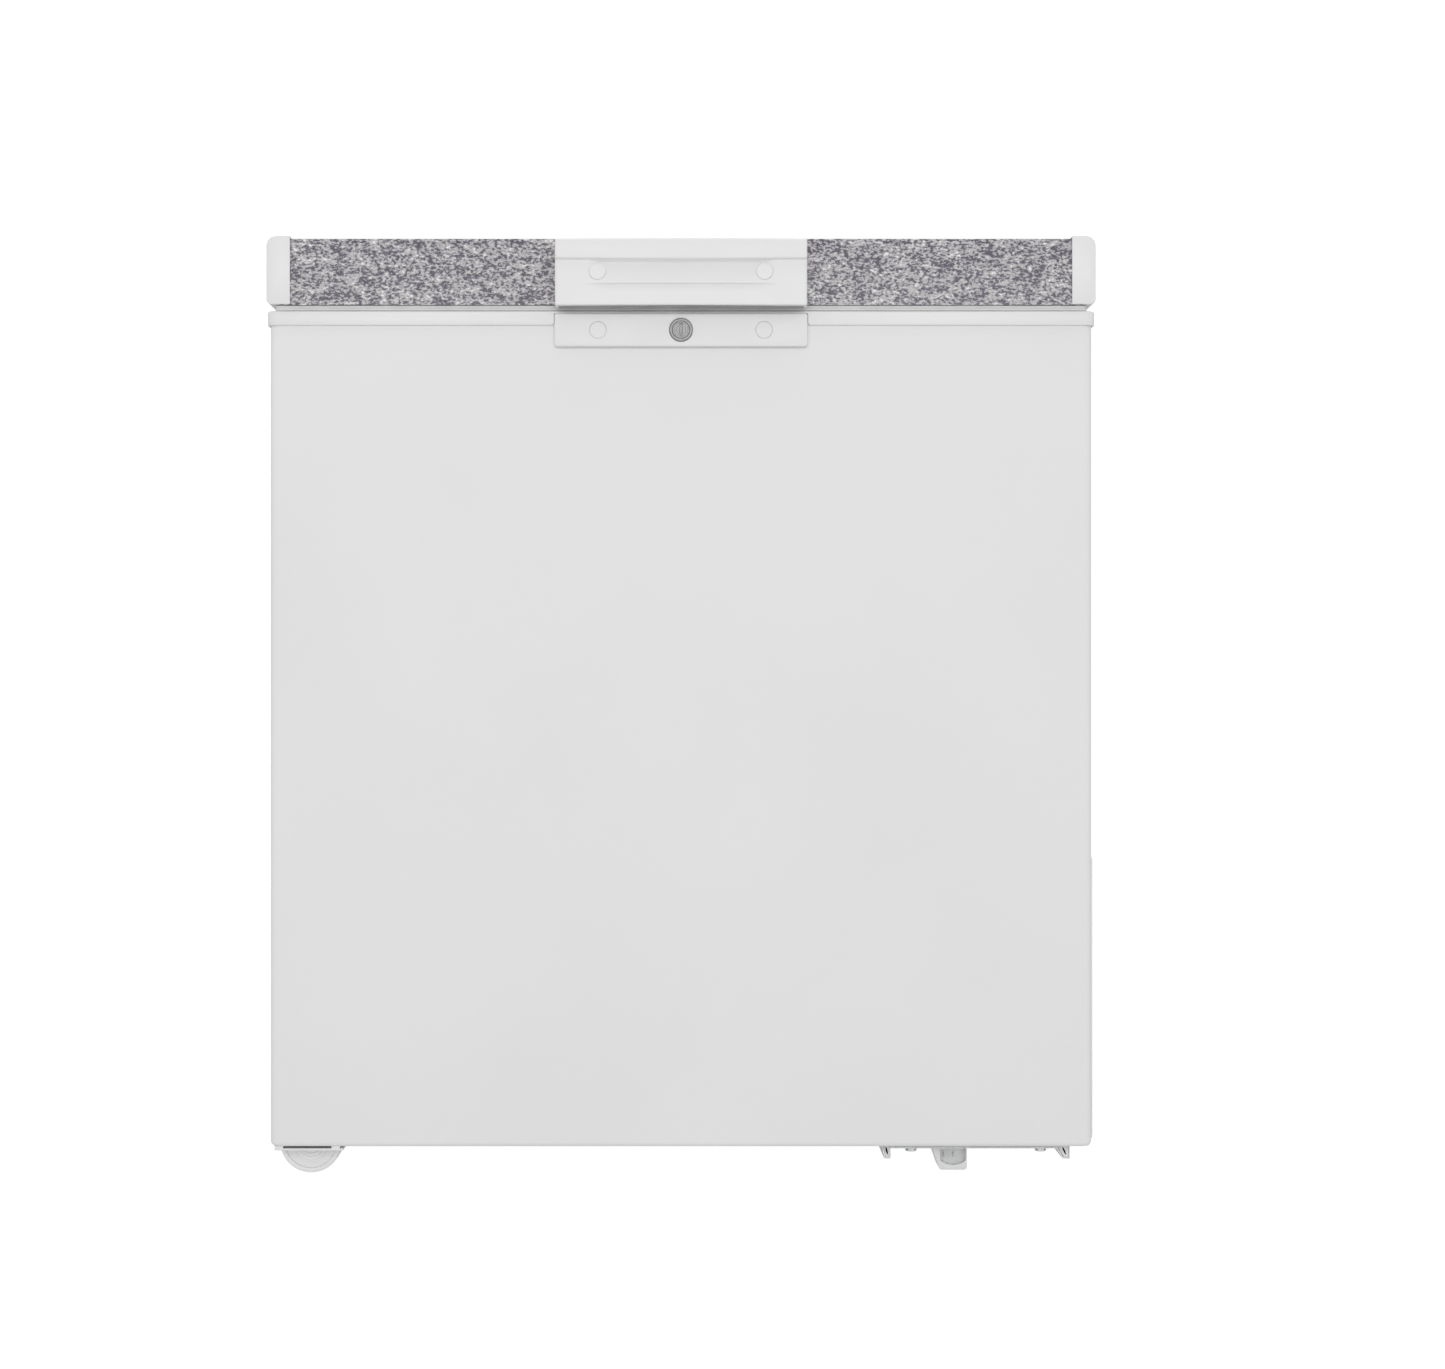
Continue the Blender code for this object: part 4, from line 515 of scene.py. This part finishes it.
def handle_section(x, low, high, shrink=0.0, solid=False):
    """The handle's outline in the (y, z) plane at x: its outer face, then its inside."""
    back, half = high.y, high.x
    front_y = low.y + bow(x, half, HANDLE_BOW) + shrink
    top, bottom = high.z - shrink, low.z + shrink
    face = front_y + BROW_STEP
    fade = min(1.0, max(0.0, (SCOOP_HALF - abs(x)) / (SCOOP_HALF - SCOOP_FLAT)))
    pad = fade * fade * (3 - 2 * fade)
    brow = BROW_LOW - BROW_SAG * (1 - (x / half) ** 2)
    outer = [(back, top)]
    outer += [(y, z) for y, z in arc((front_y + 0.0036, top - 0.0032), 0.0032, 90, 172, 6)]
    outer += [(front_y + 0.0001, top - 0.0080)]
    outer += [(y, z) for y, z in arc((front_y + 0.0018, brow + 0.0018), 0.0018, 180, 250, 4)]
    outer += [(face + 0.0003, brow - 0.0001), (face + 0.0010, brow - 0.0006)]
    drop = brow - 0.0006 - SCOOP_LOW
    for i in range(1, 13):
        t = i / 12
        hollow = (0.0010 + (SCOOP_DEPTH - 0.0010) * pad) * (1 - t) ** 1.6
        swell = 0.0007 * pad * t**3
        outer.append((face + hollow - swell, brow - 0.0006 - drop * t))
    under = 0.0009 * pad
    outer += [(face - 0.0004 * pad, SCOOP_LOW - 0.0005), (face + under, SCOOP_LOW - 0.0011)]
    outer += [(face + under * 0.8, SCOOP_LOW - 0.0024), (face + under * 0.2, SCOOP_LOW - 0.0050)]
    outer += [(face, SCOOP_LOW - 0.0070), (face, bottom + 0.0016)]
    outer += [(y, z) for y, z in arc((face + 0.0012, bottom + 0.0012), 0.0012, 180, 270, 4)]
    wall = face + SCOOP_DEPTH + HANDLE_WALL
    if solid:
        inner = [(back - 0.0001, bottom), (back - 0.0001, top - 0.003), (back - 0.0001, top - 0.002)]
        inner += [(back, top - 0.001)]
    else:
        inner = [(wall, bottom), (wall, top - 0.008), (back - 0.004, top - 0.005), (back, top - 0.005)]
    return [(x, y, z) for y, z in outer + inner]


def handle():
    low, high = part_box("lid_handle")
    half = high.x
    stations = [(-half, 0.0012, True), (-half + 0.0004, 0.0004, True), (-half + 0.0012, 0.0, True)]
    stations.append((-half + 0.0026, 0.0, True))
    inner = half - 0.0027
    count = 72
    stations += [(-inner + 2 * inner * i / count, 0.0, False) for i in range(count + 1)]
    stations += [(-x, shrink, solid) for x, shrink, solid in reversed(stations[:4])]
    bm = bmesh.new()
    loft(bm, [handle_section(x, low, high, shrink, solid) for x, shrink, solid in stations])
    bar = piece_from(bm, "handle_moulding", "lid", "white_plastic", ["lid_handle"])
    holes = bmesh.new()
    for side in (-1, 1):
        x = side * FIXING_X
        face = low.y + bow(x, half, HANDLE_BOW) + BROW_STEP
        cylinder(holes, (x, face, HANDLE_FIXING_Z), FIXING_HOLE, FIXING_CUT)
    carve(bar, holes)
    smooth(bar)
    for side, name in ((-1, "left"), (1, "right")):
        x = side * FIXING_X
        face = low.y + bow(x, half, HANDLE_BOW) + BROW_STEP
        disc(f"handle_button_{name}", (x, face + 0.0001, HANDLE_FIXING_Z), "lid", f"handle_cap_{name}")


def disc(name, at, body, node):
    """A flush button over a screw: slightly crowned, with a rolled edge."""
    radius, roll, under = 0.00775, 0.0004, -0.0011
    profile = [(0.0, 0.00025), (radius * 0.5, 0.00018), (radius * 0.85, 0.00006)]
    for angle in (0.3, 0.8, 1.3):
        profile.append((radius - roll + roll * math.sin(angle), -roll + roll * math.cos(angle)))
    profile += [(radius, under), (0.0, under)]
    lathe(name, profile, at, "Y", body, "white_plastic", [node], 48)


# ---------------------------------------------------------------- lock plate and lock
LOCK_Z = 0.774
LOCK_HOLE = 0.0109
PLATE_WALL = 0.002
PLATE_CORNER = 0.0022


def rounded_box(low, high, radius, steps=6):
    """Points round a rectangle in the (x, z) plane, with rounded corners."""
    x0, x1, z0, z1 = low[0] + radius, high[0] - radius, low[1] + radius, high[1] - radius
    points = []
    for centre, start in (((x1, z1), 0), ((x0, z1), 90), ((x0, z0), 180), ((x1, z0), 270)):
        points += arc(centre, radius, start, start + 90, steps)
    return points


def lock_plate():
    """A shallow tray, open behind, with a slot above for the lock's cam."""
    low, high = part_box("lock_plate")
    rings = []
    edge = [(high.y, 0.0), (low.y + 0.0012, 0.0), (low.y + 0.0006, 0.00012)]
    edge += [(low.y + 0.0002, 0.0005), (low.y, 0.0011)]
    for y, inset in edge:
        corners = (low.x + inset, low.z + inset), (high.x - inset, high.z - inset)
        outline = rounded_box(*corners, PLATE_CORNER - inset)
        rings.append([(x, y, z) for x, z in outline])
    bm = bmesh.new()
    loft(bm, rings)
    plate = piece_from(bm, "lock_plate_moulding", "cabinet", "white_plastic", ["lock_plate"])
    wall, behind = PLATE_WALL, high.y + 0.01
    hollow = bmesh.new()
    inside = low.x + wall, low.y + wall, low.z + wall
    box_shape(hollow, inside, (high.x - wall, behind, high.z - wall))
    carve(plate, hollow)
    slot = bmesh.new()
    slot_low = -0.0045, low.y + wall + 0.0001, high.z - 0.004
    box_shape(slot, slot_low, (0.0345, behind, high.z + 0.01))
    carve(plate, slot)
    holes = bmesh.new()
    cylinder(holes, (0, low.y, LOCK_Z), LOCK_HOLE, 0.03)
    for side in (-1, 1):
        cylinder(holes, (side * FIXING_X, low.y, LOCK_Z), FIXING_HOLE, FIXING_CUT)
    carve(plate, holes)
    smooth(plate)
    for side, name in ((-1, "left"), (1, "right")):
        at = (side * FIXING_X, low.y + 0.0001, LOCK_Z)
        disc(f"plate_button_{name}", at, "cabinet", f"plate_cap_{name}")
    lock_barrel(low.y, LOCK_Z)


def lock_barrel(plate_y, z):
    """A turned barrel in a raised ring, with a slotted plug and its sprung shutter."""
    front_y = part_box("lock_cylinder")[0].y
    rise = plate_y - front_y
    ring = [(0.0080, -0.0010), (0.0080, rise - 0.0005), (0.0084, rise - 0.0001), (0.0096, rise)]
    ring += [(0.0103, rise - 0.0003), (0.0105, rise - 0.0009), (0.0105, -0.0026), (0.0060, -0.0026)]
    lathe("lock_ring", ring, (0, plate_y, z), "Y", "lock", "lock_metal", ["lock_cylinder"])
    face = rise - 0.0006
    barrel = [(0.0, face), (0.0040, face), (0.0042, face - 0.0003), (0.0045, face - 0.0003)]
    barrel += [(0.0047, face), (0.0060, face), (0.0062, face - 0.0003), (0.0065, face - 0.0003)]
    barrel += [(0.0067, face), (0.0076, face), (0.0078, face - 0.0003), (0.0078, -0.0024)]
    barrel += [(0.0040, -0.0024), (0.0040, -0.0105), (0.0, -0.0105)]
    plug = lathe("lock_barrel", barrel, (0, plate_y, z), "Y", "lock", "lock_metal")
    plug.modifiers.clear()
    keyway = bmesh.new()
    box_shape(keyway, (-0.0017, front_y - 0.01, z - 0.0062), (0.0017, plate_y - face + 0.0026, z + 0.0062))
    carve(plug, keyway)
    smooth(plug)
    shutter = bmesh.new()
    rings = []
    y = plate_y - face + 0.0016
    around = [i * math.pi / 5 for i in range(10)]
    for t in (-1.0, -0.92, -0.6, -0.2, 0.2, 0.6, 0.92, 1.0):
        width = 0.0008 * math.sqrt(max(0.02, 1 - t * t))
        at = z + 0.0058 * t
        rings.append([(width * math.cos(a), y - width * math.sin(a), at) for a in around])
    loft(shutter, rings)
    smooth(piece_from(shutter, "lock_shutter", "lock", "zinc_steel"))


# ---------------------------------------------------------------- gasket
def gasket():
    """A bellows seal: a foot on the lid, a ribbed wall and a magnet tube on the collar."""
    low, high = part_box("lid_gasket")
    tall, width = high.z - low.z, 0.022
    outer = [(0.0014, 0.0), (0.0004, 0.0003), (0.0, 0.0010), (0.0001, 0.0020), (0.0005, 0.0026)]
    outer += [(0.0007, 0.0030), (0.0004, 0.0034), (0.0001, 0.0039), (0.0001, tall)]
    inner = [(width - d, h) for d, h in reversed(outer)]
    profile = outer + inner
    radius = 0.0065
    rings = []
    for side_x, side_y, start in ((1, 1, 0), (-1, 1, 90), (-1, -1, 180), (1, -1, 270)):
        x = (high.x if side_x > 0 else low.x) - side_x * radius
        y = (high.y if side_y > 0 else low.y) - side_y * radius
        for i in range(9):
            angle = math.radians(start + 90 * i / 8)
            ring = []
            for depth, height in profile:
                reach = max(radius - depth, 0.0002)
                pull = min(radius - depth, 0.0)
                ring.append(
                    (
                        x + reach * math.cos(angle) + pull * side_x,
                        y + reach * math.sin(angle) + pull * side_y,
                        low.z + height,
                    )
                )
            rings.append(ring)
    bm = bmesh.new()
    loft(bm, rings, closed=True)
    smooth(piece_from(bm, "gasket_bellows", "lid", "gasket_vinyl", ["lid_gasket"]))


# ---------------------------------------------------------------- rollers
def rollers():
    for name, end in (("front", -1), ("rear", 1)):
        low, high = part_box(f"roller_wheel_{name}")
        centre = (low + high) / 2
        radius = (high.z - low.z) / 2
        half = (high.y - low.y) / 2
        face = half - 0.0022
        side = [(0.0023, half), (0.0050, half), (0.0056, half - 0.0006), (0.0058, face)]
        for i in range(4):
            at = 0.0080 + 0.0030 * i
            side += [(at - 0.0007, face), (at, face + 0.0005), (at + 0.0007, face)]
        rim = radius - 0.0048
        side += [(rim, face), (rim + 0.0006, half - 0.0006), (rim + 0.0012, half - 0.0003)]
        side += [(radius - 0.0016, half - 0.0003), (radius - 0.0005, half - 0.0009)]
        side += [(radius, half - 0.0022)]
        profile = side + [(r, -h) for r, h in reversed(side)]
        profile.append(profile[0])
        node = f"roller_wheel_{name}"
        lathe(f"roller_tyre_{name}", profile, centre, "Y", f"{name}_roller", "roller_plastic", [node], 72)


# ---------------------------------------------------------------- basket
def wire_curve(name, routes, radius, closed, body, replaces=()):
    """Round wires along routes of points."""
    curve = bpy.data.curves.new(name, "CURVE")
    curve.dimensions = "3D"
    curve.bevel_depth = radius
    curve.bevel_resolution = 3
    curve.use_fill_caps = True
    for route in routes:
        spline = curve.splines.new("POLY")
        spline.points.add(len(route) - 1)
        for point, place_at in zip(spline.points, route):
            point.co = (*place_at, 1.0)
        spline.use_cyclic_u = closed
        spline.use_smooth = True
    return settled(bpy.data.objects.new(name, curve), body, "basket_coat", replaces)


def eased(points, radius, steps=6, closed=False):
    """The route with each corner replaced by an arc."""
    route = [Vector(point) for point in points]
    if closed:
        corners = [(route[i - 1], route[i], route[(i + 1) % len(route)]) for i in range(len(route))]
        found = []
    else:
        corners = list(zip(route, route[1:], route[2:]))
        found = [route[0]]
    for before, corner, after in corners:
        back, on = (before - corner).normalized(), (after - corner).normalized()
        half = back.angle(on) / 2
        reach = radius / math.tan(half)
        middle = corner + (back + on).normalized() * (radius / math.sin(half))
        first = (corner + back * reach - middle).normalized()
        last = (corner + on * reach - middle).normalized()
        found += [middle + first.slerp(last, i / steps) * radius for i in range(steps + 1)]
    if not closed:
        found.append(route[-1])
    return found


def basket():
    low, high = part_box("basket")
    wire, rim = 0.0017, 0.0026
    middle_x = (low.x + high.x) / 2
    left, right = low.x + rim, high.x - rim
    front_y, rear_y = -0.2605, 0.2635
    bottom, top = low.z + wire, 0.764
    loop = [(left, front_y), (left, rear_y), (right, rear_y), (right, front_y)]
    rims = [eased([(x, y, z) for x, y in loop], 0.020, closed=True) for z in (top, (top + bottom) / 2)]
    wire_curve("basket_rims", rims, rim, True, "basket", ["basket"])
    bows = []
    cross, long = 15, 7
    for i in range(cross):
        y = front_y + (rear_y - front_y) * (i + 1) / (cross + 1)
        bows.append(eased([(left, y, top), (left, y, bottom), (right, y, bottom), (right, y, top)], 0.018))
    for i in range(long):
        x = left + (right - left) * (i + 1) / (long + 1)
        z = bottom + 2 * wire
        bows.append(eased([(x, front_y, top), (x, front_y, z), (x, rear_y, z), (x, rear_y, top)], 0.018))
    wire_curve("basket_bows", bows, wire, False, "basket")
    hooks = []
    hang = high.z - rim
    for end, edge in ((-1, front_y), (1, rear_y)):
        out = edge + end * 0.024
        x0, x1 = middle_x - 0.070, middle_x + 0.070
        hook = [(x0, edge, top), (x0, edge, hang), (x0, out, hang)]
        hook += [(x1, y, z) for _, y, z in reversed(hook)]
        hooks.append(eased(hook, 0.006))
    wire_curve("basket_hooks", hooks, rim, False, "basket")


# ---------------------------------------------------------------- fasteners
def screw_mesh(radius, crown):
    """A pan head with a cross recess, crown times its radius tall. It stands along +Z."""
    top = crown * radius
    dome = [(0.0, 1.0), (0.35, 0.97), (0.65, 0.84), (0.88, 0.55), (1.0, 0.16), (1.0, 0.0), (0.0, 0.0)]
    bm = turned([(r * radius, h * top) for r, h in dome], 32)
    bmesh.ops.recalc_face_normals(bm, faces=bm.faces)
    head = as_object(bm, "screw")
    for along, across in ((0.62, 0.13), (0.13, 0.62)):
        recess = bmesh.new()
        low = (-along * radius, -across * radius, 0.4 * top)
        box_shape(recess, low, (along * radius, across * radius, radius))
        carve(head, recess)
    made = head.data
    bpy.data.objects.remove(head)
    return made


def screws(prefix, places, axis, radius, body, crown=0.6):
    """One screw at each place, its head standing out along axis."""
    shape = screw_mesh(radius, crown)
    turn = Vector((0, 0, 1)).rotation_difference(Vector(axis)).to_matrix().to_4x4()
    for i, at in enumerate(places):
        mesh = shape.copy()
        twist = Matrix.Rotation(0.7 * i + 0.3, 4, "Z")
        mesh.transform(Matrix.Translation(at) @ turn @ twist)
        head = settled(bpy.data.objects.new(f"{prefix}_screw_{i + 1}", mesh), body, "zinc_steel")
        smooth(head)


def fasteners():
    for name in ("left", "right"):
        low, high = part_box(f"hinge_base_{name}")
        x = (low.x + high.x) / 2
        y = low.y + 0.0020
        places = [(x + dx, y, low.z + dz) for dx in (-0.017, 0.017) for dz in (0.012, 0.062)]
        screws(f"hinge_base_{name}", places, (0, 1, 0), 0.0042, "cabinet")
        low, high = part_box(f"hinge_leaf_{name}")
        y = low.y + 0.0020
        places = [(x + dx, y, high.z - dz) for dx in (-0.011, 0.011) for dz in (0.009, 0.028)]
        screws(f"hinge_leaf_{name}", places, (0, 1, 0), 0.0038, "lid")
    low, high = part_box("rear_cover")
    inset = 0.009
    across, up = (low.x + inset, high.x - inset), (low.z + inset, high.z - inset)
    places = [(x, high.y, z) for x in across for z in up]
    screws("rear_cover", places, (0, 1, 0), 0.0036, "cabinet")
    low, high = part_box("side_grille")
    inset = 0.013
    along, up = (low.y + inset, high.y - inset), (low.z + inset, high.z - inset)
    places = [(high.x - 0.0004, y, z) for y in along for z in up]
    screws("side_grille", places, (1, 0, 0), 0.0034, "cabinet", 0.3)


BOLT_X = (0.2128, 0.3326)
BOLT_INSET = 0.012
TRAY_UNDERSIDE = 0.0240


def polygon(x, y, z, radius, sides):
    """A level ring of points round (x, y)."""
    turn = 2 * math.pi / sides
    return [(x + radius * math.cos(turn * i), y + radius * math.sin(turn * i), z) for i in range(sides)]


def tray_bolts():
    """Hexagon heads on washers under the tray, near its front and rear ends."""
    low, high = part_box("compressor_tray")
    under = TRAY_UNDERSIDE
    for row, y in enumerate((low.y + BOLT_INSET, high.y - BOLT_INSET)):
        for column, x in enumerate(BOLT_X):
            bm = bmesh.new()
            head = ((0.0052, under), (0.0052, under - 0.0034), (0.0045, under - 0.0040))
            washer = ((0.0072, under), (0.0074, under - 0.0006), (0.0070, under - 0.0010))
            loft(bm, [polygon(x, y, z, radius, 6) for radius, z in head])
            loft(bm, [polygon(x, y, z, radius, 24) for radius, z in washer])
            smooth(piece_from(bm, f"tray_bolt_{row}_{column}", "cabinet", "zinc_steel"))


STRIP_FLOOR = 0.0254
SLIT_Z = 0.0218
SLIT_HALF_WIDTH = 0.0009
SLIT_HALF_HEIGHT = 0.0036


def edge_strips():
    """A moulded strip in each open end of the tray, with a drain slit in each of its beads."""
    low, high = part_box("compressor_tray")
    bottom, floor, top = low.z + 0.0013, STRIP_FLOOR, high.z - 0.0003
    outline = [(0.1862, top), (0.1886, bottom), (0.1918, bottom), (0.1918, floor)]
    outline += [(0.3475, floor), (0.3528, bottom), (0.3570, bottom), (0.3570, top)]
    around = [math.pi * i / 10 for i in range(20)]
    for end, face, inward in (("front", low.y, 1), ("rear", high.y, -1)):
        near, far = face + inward * 0.0002, face + inward * 0.0042
        bm = bmesh.new()
        loft(bm, [[(x, y, z) for x, z in outline] for y in (near, far)])
        strip = piece_from(bm, f"tray_strip_{end}", "cabinet", "white_plastic")
        for middle, lean in ((0.1896, 0.0008), (0.3532, 0.0016)):
            slit = bmesh.new()
            rings = []
            for y in (near - inward * 0.002, far + inward * 0.002):
                ring = []
                for a in around:
                    x = middle + SLIT_HALF_WIDTH * math.cos(a) - lean * math.sin(a)
                    ring.append((x, y, SLIT_Z + SLIT_HALF_HEIGHT * math.sin(a)))
                rings.append(ring)
            loft(slit, rings)
            carve(strip, slit)
        smooth(strip)


# ---------------------------------------------------------------- stage and light
def seen_white(tree, shown, cast):
    """Mixes two shaders: one that the picture shows, and one that lights the object."""
    path = tree.nodes.new("ShaderNodeLightPath")
    mix = tree.nodes.new("ShaderNodeMixShader")
    tree.links.new(path.outputs["Is Camera Ray"], mix.inputs["Fac"])
    tree.links.new(cast, mix.inputs[1])
    tree.links.new(shown, mix.inputs[2])
    return mix.outputs["Shader"]


def stage():
    """A wide floor: plain white in the picture, and a soft glow to everything that it lights."""
    bm = bmesh.new()
    bmesh.ops.create_grid(bm, x_segments=8, y_segments=8, size=FLOOR_HALF)
    floor = as_object(bm, "floor")
    paint = Paint("pale_floor", (0.12, 0.12, 0.12), 0.9, specular=0.0)
    varied(paint, (0.12, 0.12, 0.12), 0.01, 2)
    paint.shader.inputs["Emission Color"].default_value = (1, 1, 1, 1)
    paint.shader.inputs["Emission Strength"].default_value = 0.965
    tree = paint.material.node_tree
    bounce, glow = paint.nodes.new("ShaderNodeBsdfDiffuse"), paint.nodes.new("ShaderNodeEmission")
    bounce.inputs["Color"].default_value = (FLOOR_BOUNCE, FLOOR_BOUNCE, FLOOR_BOUNCE, 1)
    glow.inputs["Strength"].default_value = FLOOR_GLOW
    cast = paint.nodes.new("ShaderNodeAddShader")
    tree.links.new(bounce.outputs["BSDF"], cast.inputs[0])
    tree.links.new(glow.outputs["Emission"], cast.inputs[1])
    both = seen_white(tree, paint.shader.outputs["BSDF"], cast.outputs["Shader"])
    tree.links.new(both, paint.nodes["Material Output"].inputs["Surface"])
    floor.data.materials.append(paint.material)


def softbox(name, at, towards, size, power):
    light = bpy.data.lights.new(name, "AREA")
    light.shape = "RECTANGLE"
    light.size, light.size_y = size
    light.energy = power
    lamp = bpy.data.objects.new(name, light)
    lamp.location = at
    lamp.rotation_euler = (Vector(towards) - Vector(at)).to_track_quat("-Z", "Y").to_euler()
    bpy.context.scene.collection.objects.link(lamp)


def lights():
    """A white room, a broad key light behind the camera and weaker ones all round."""
    world = bpy.data.worlds.new("studio")
    bpy.context.scene.world = world
    world.use_nodes = True
    tree = world.node_tree
    room, white = tree.nodes["Background"], tree.nodes.new("ShaderNodeBackground")
    room.inputs["Color"].default_value = (1, 1, 1, 1)
    room.inputs["Strength"].default_value = ROOM_LIGHT
    white.inputs["Color"].default_value = (1, 1, 1, 1)
    white.inputs["Strength"].default_value = 1.05
    both = seen_white(tree, white.outputs["Background"], room.outputs["Background"])
    tree.links.new(both, tree.nodes["World Output"].inputs["Surface"])
    middle = (0, 0, 0.45)
    for name, at, power in (
        ("key", (0, -9.0, 1.4), KEY_POWER),
        ("left", (-5.2, -0.8, 3.2), SIDE_POWER),
        ("right", (5.2, -0.8, 3.2), SIDE_POWER),
        ("rear", (0.4, 5.4, 3.2), SIDE_POWER),
        ("top", (0, -0.3, 4.6), TOP_POWER),
    ):
        softbox(name, at, middle, (6.0, 3.6) if name == "key" else (3.2, 2.4), power)


handle()
lock_plate()
gasket()
rollers()
basket()
fasteners()
tray_bolts()
edge_strips()
stage()
lights()
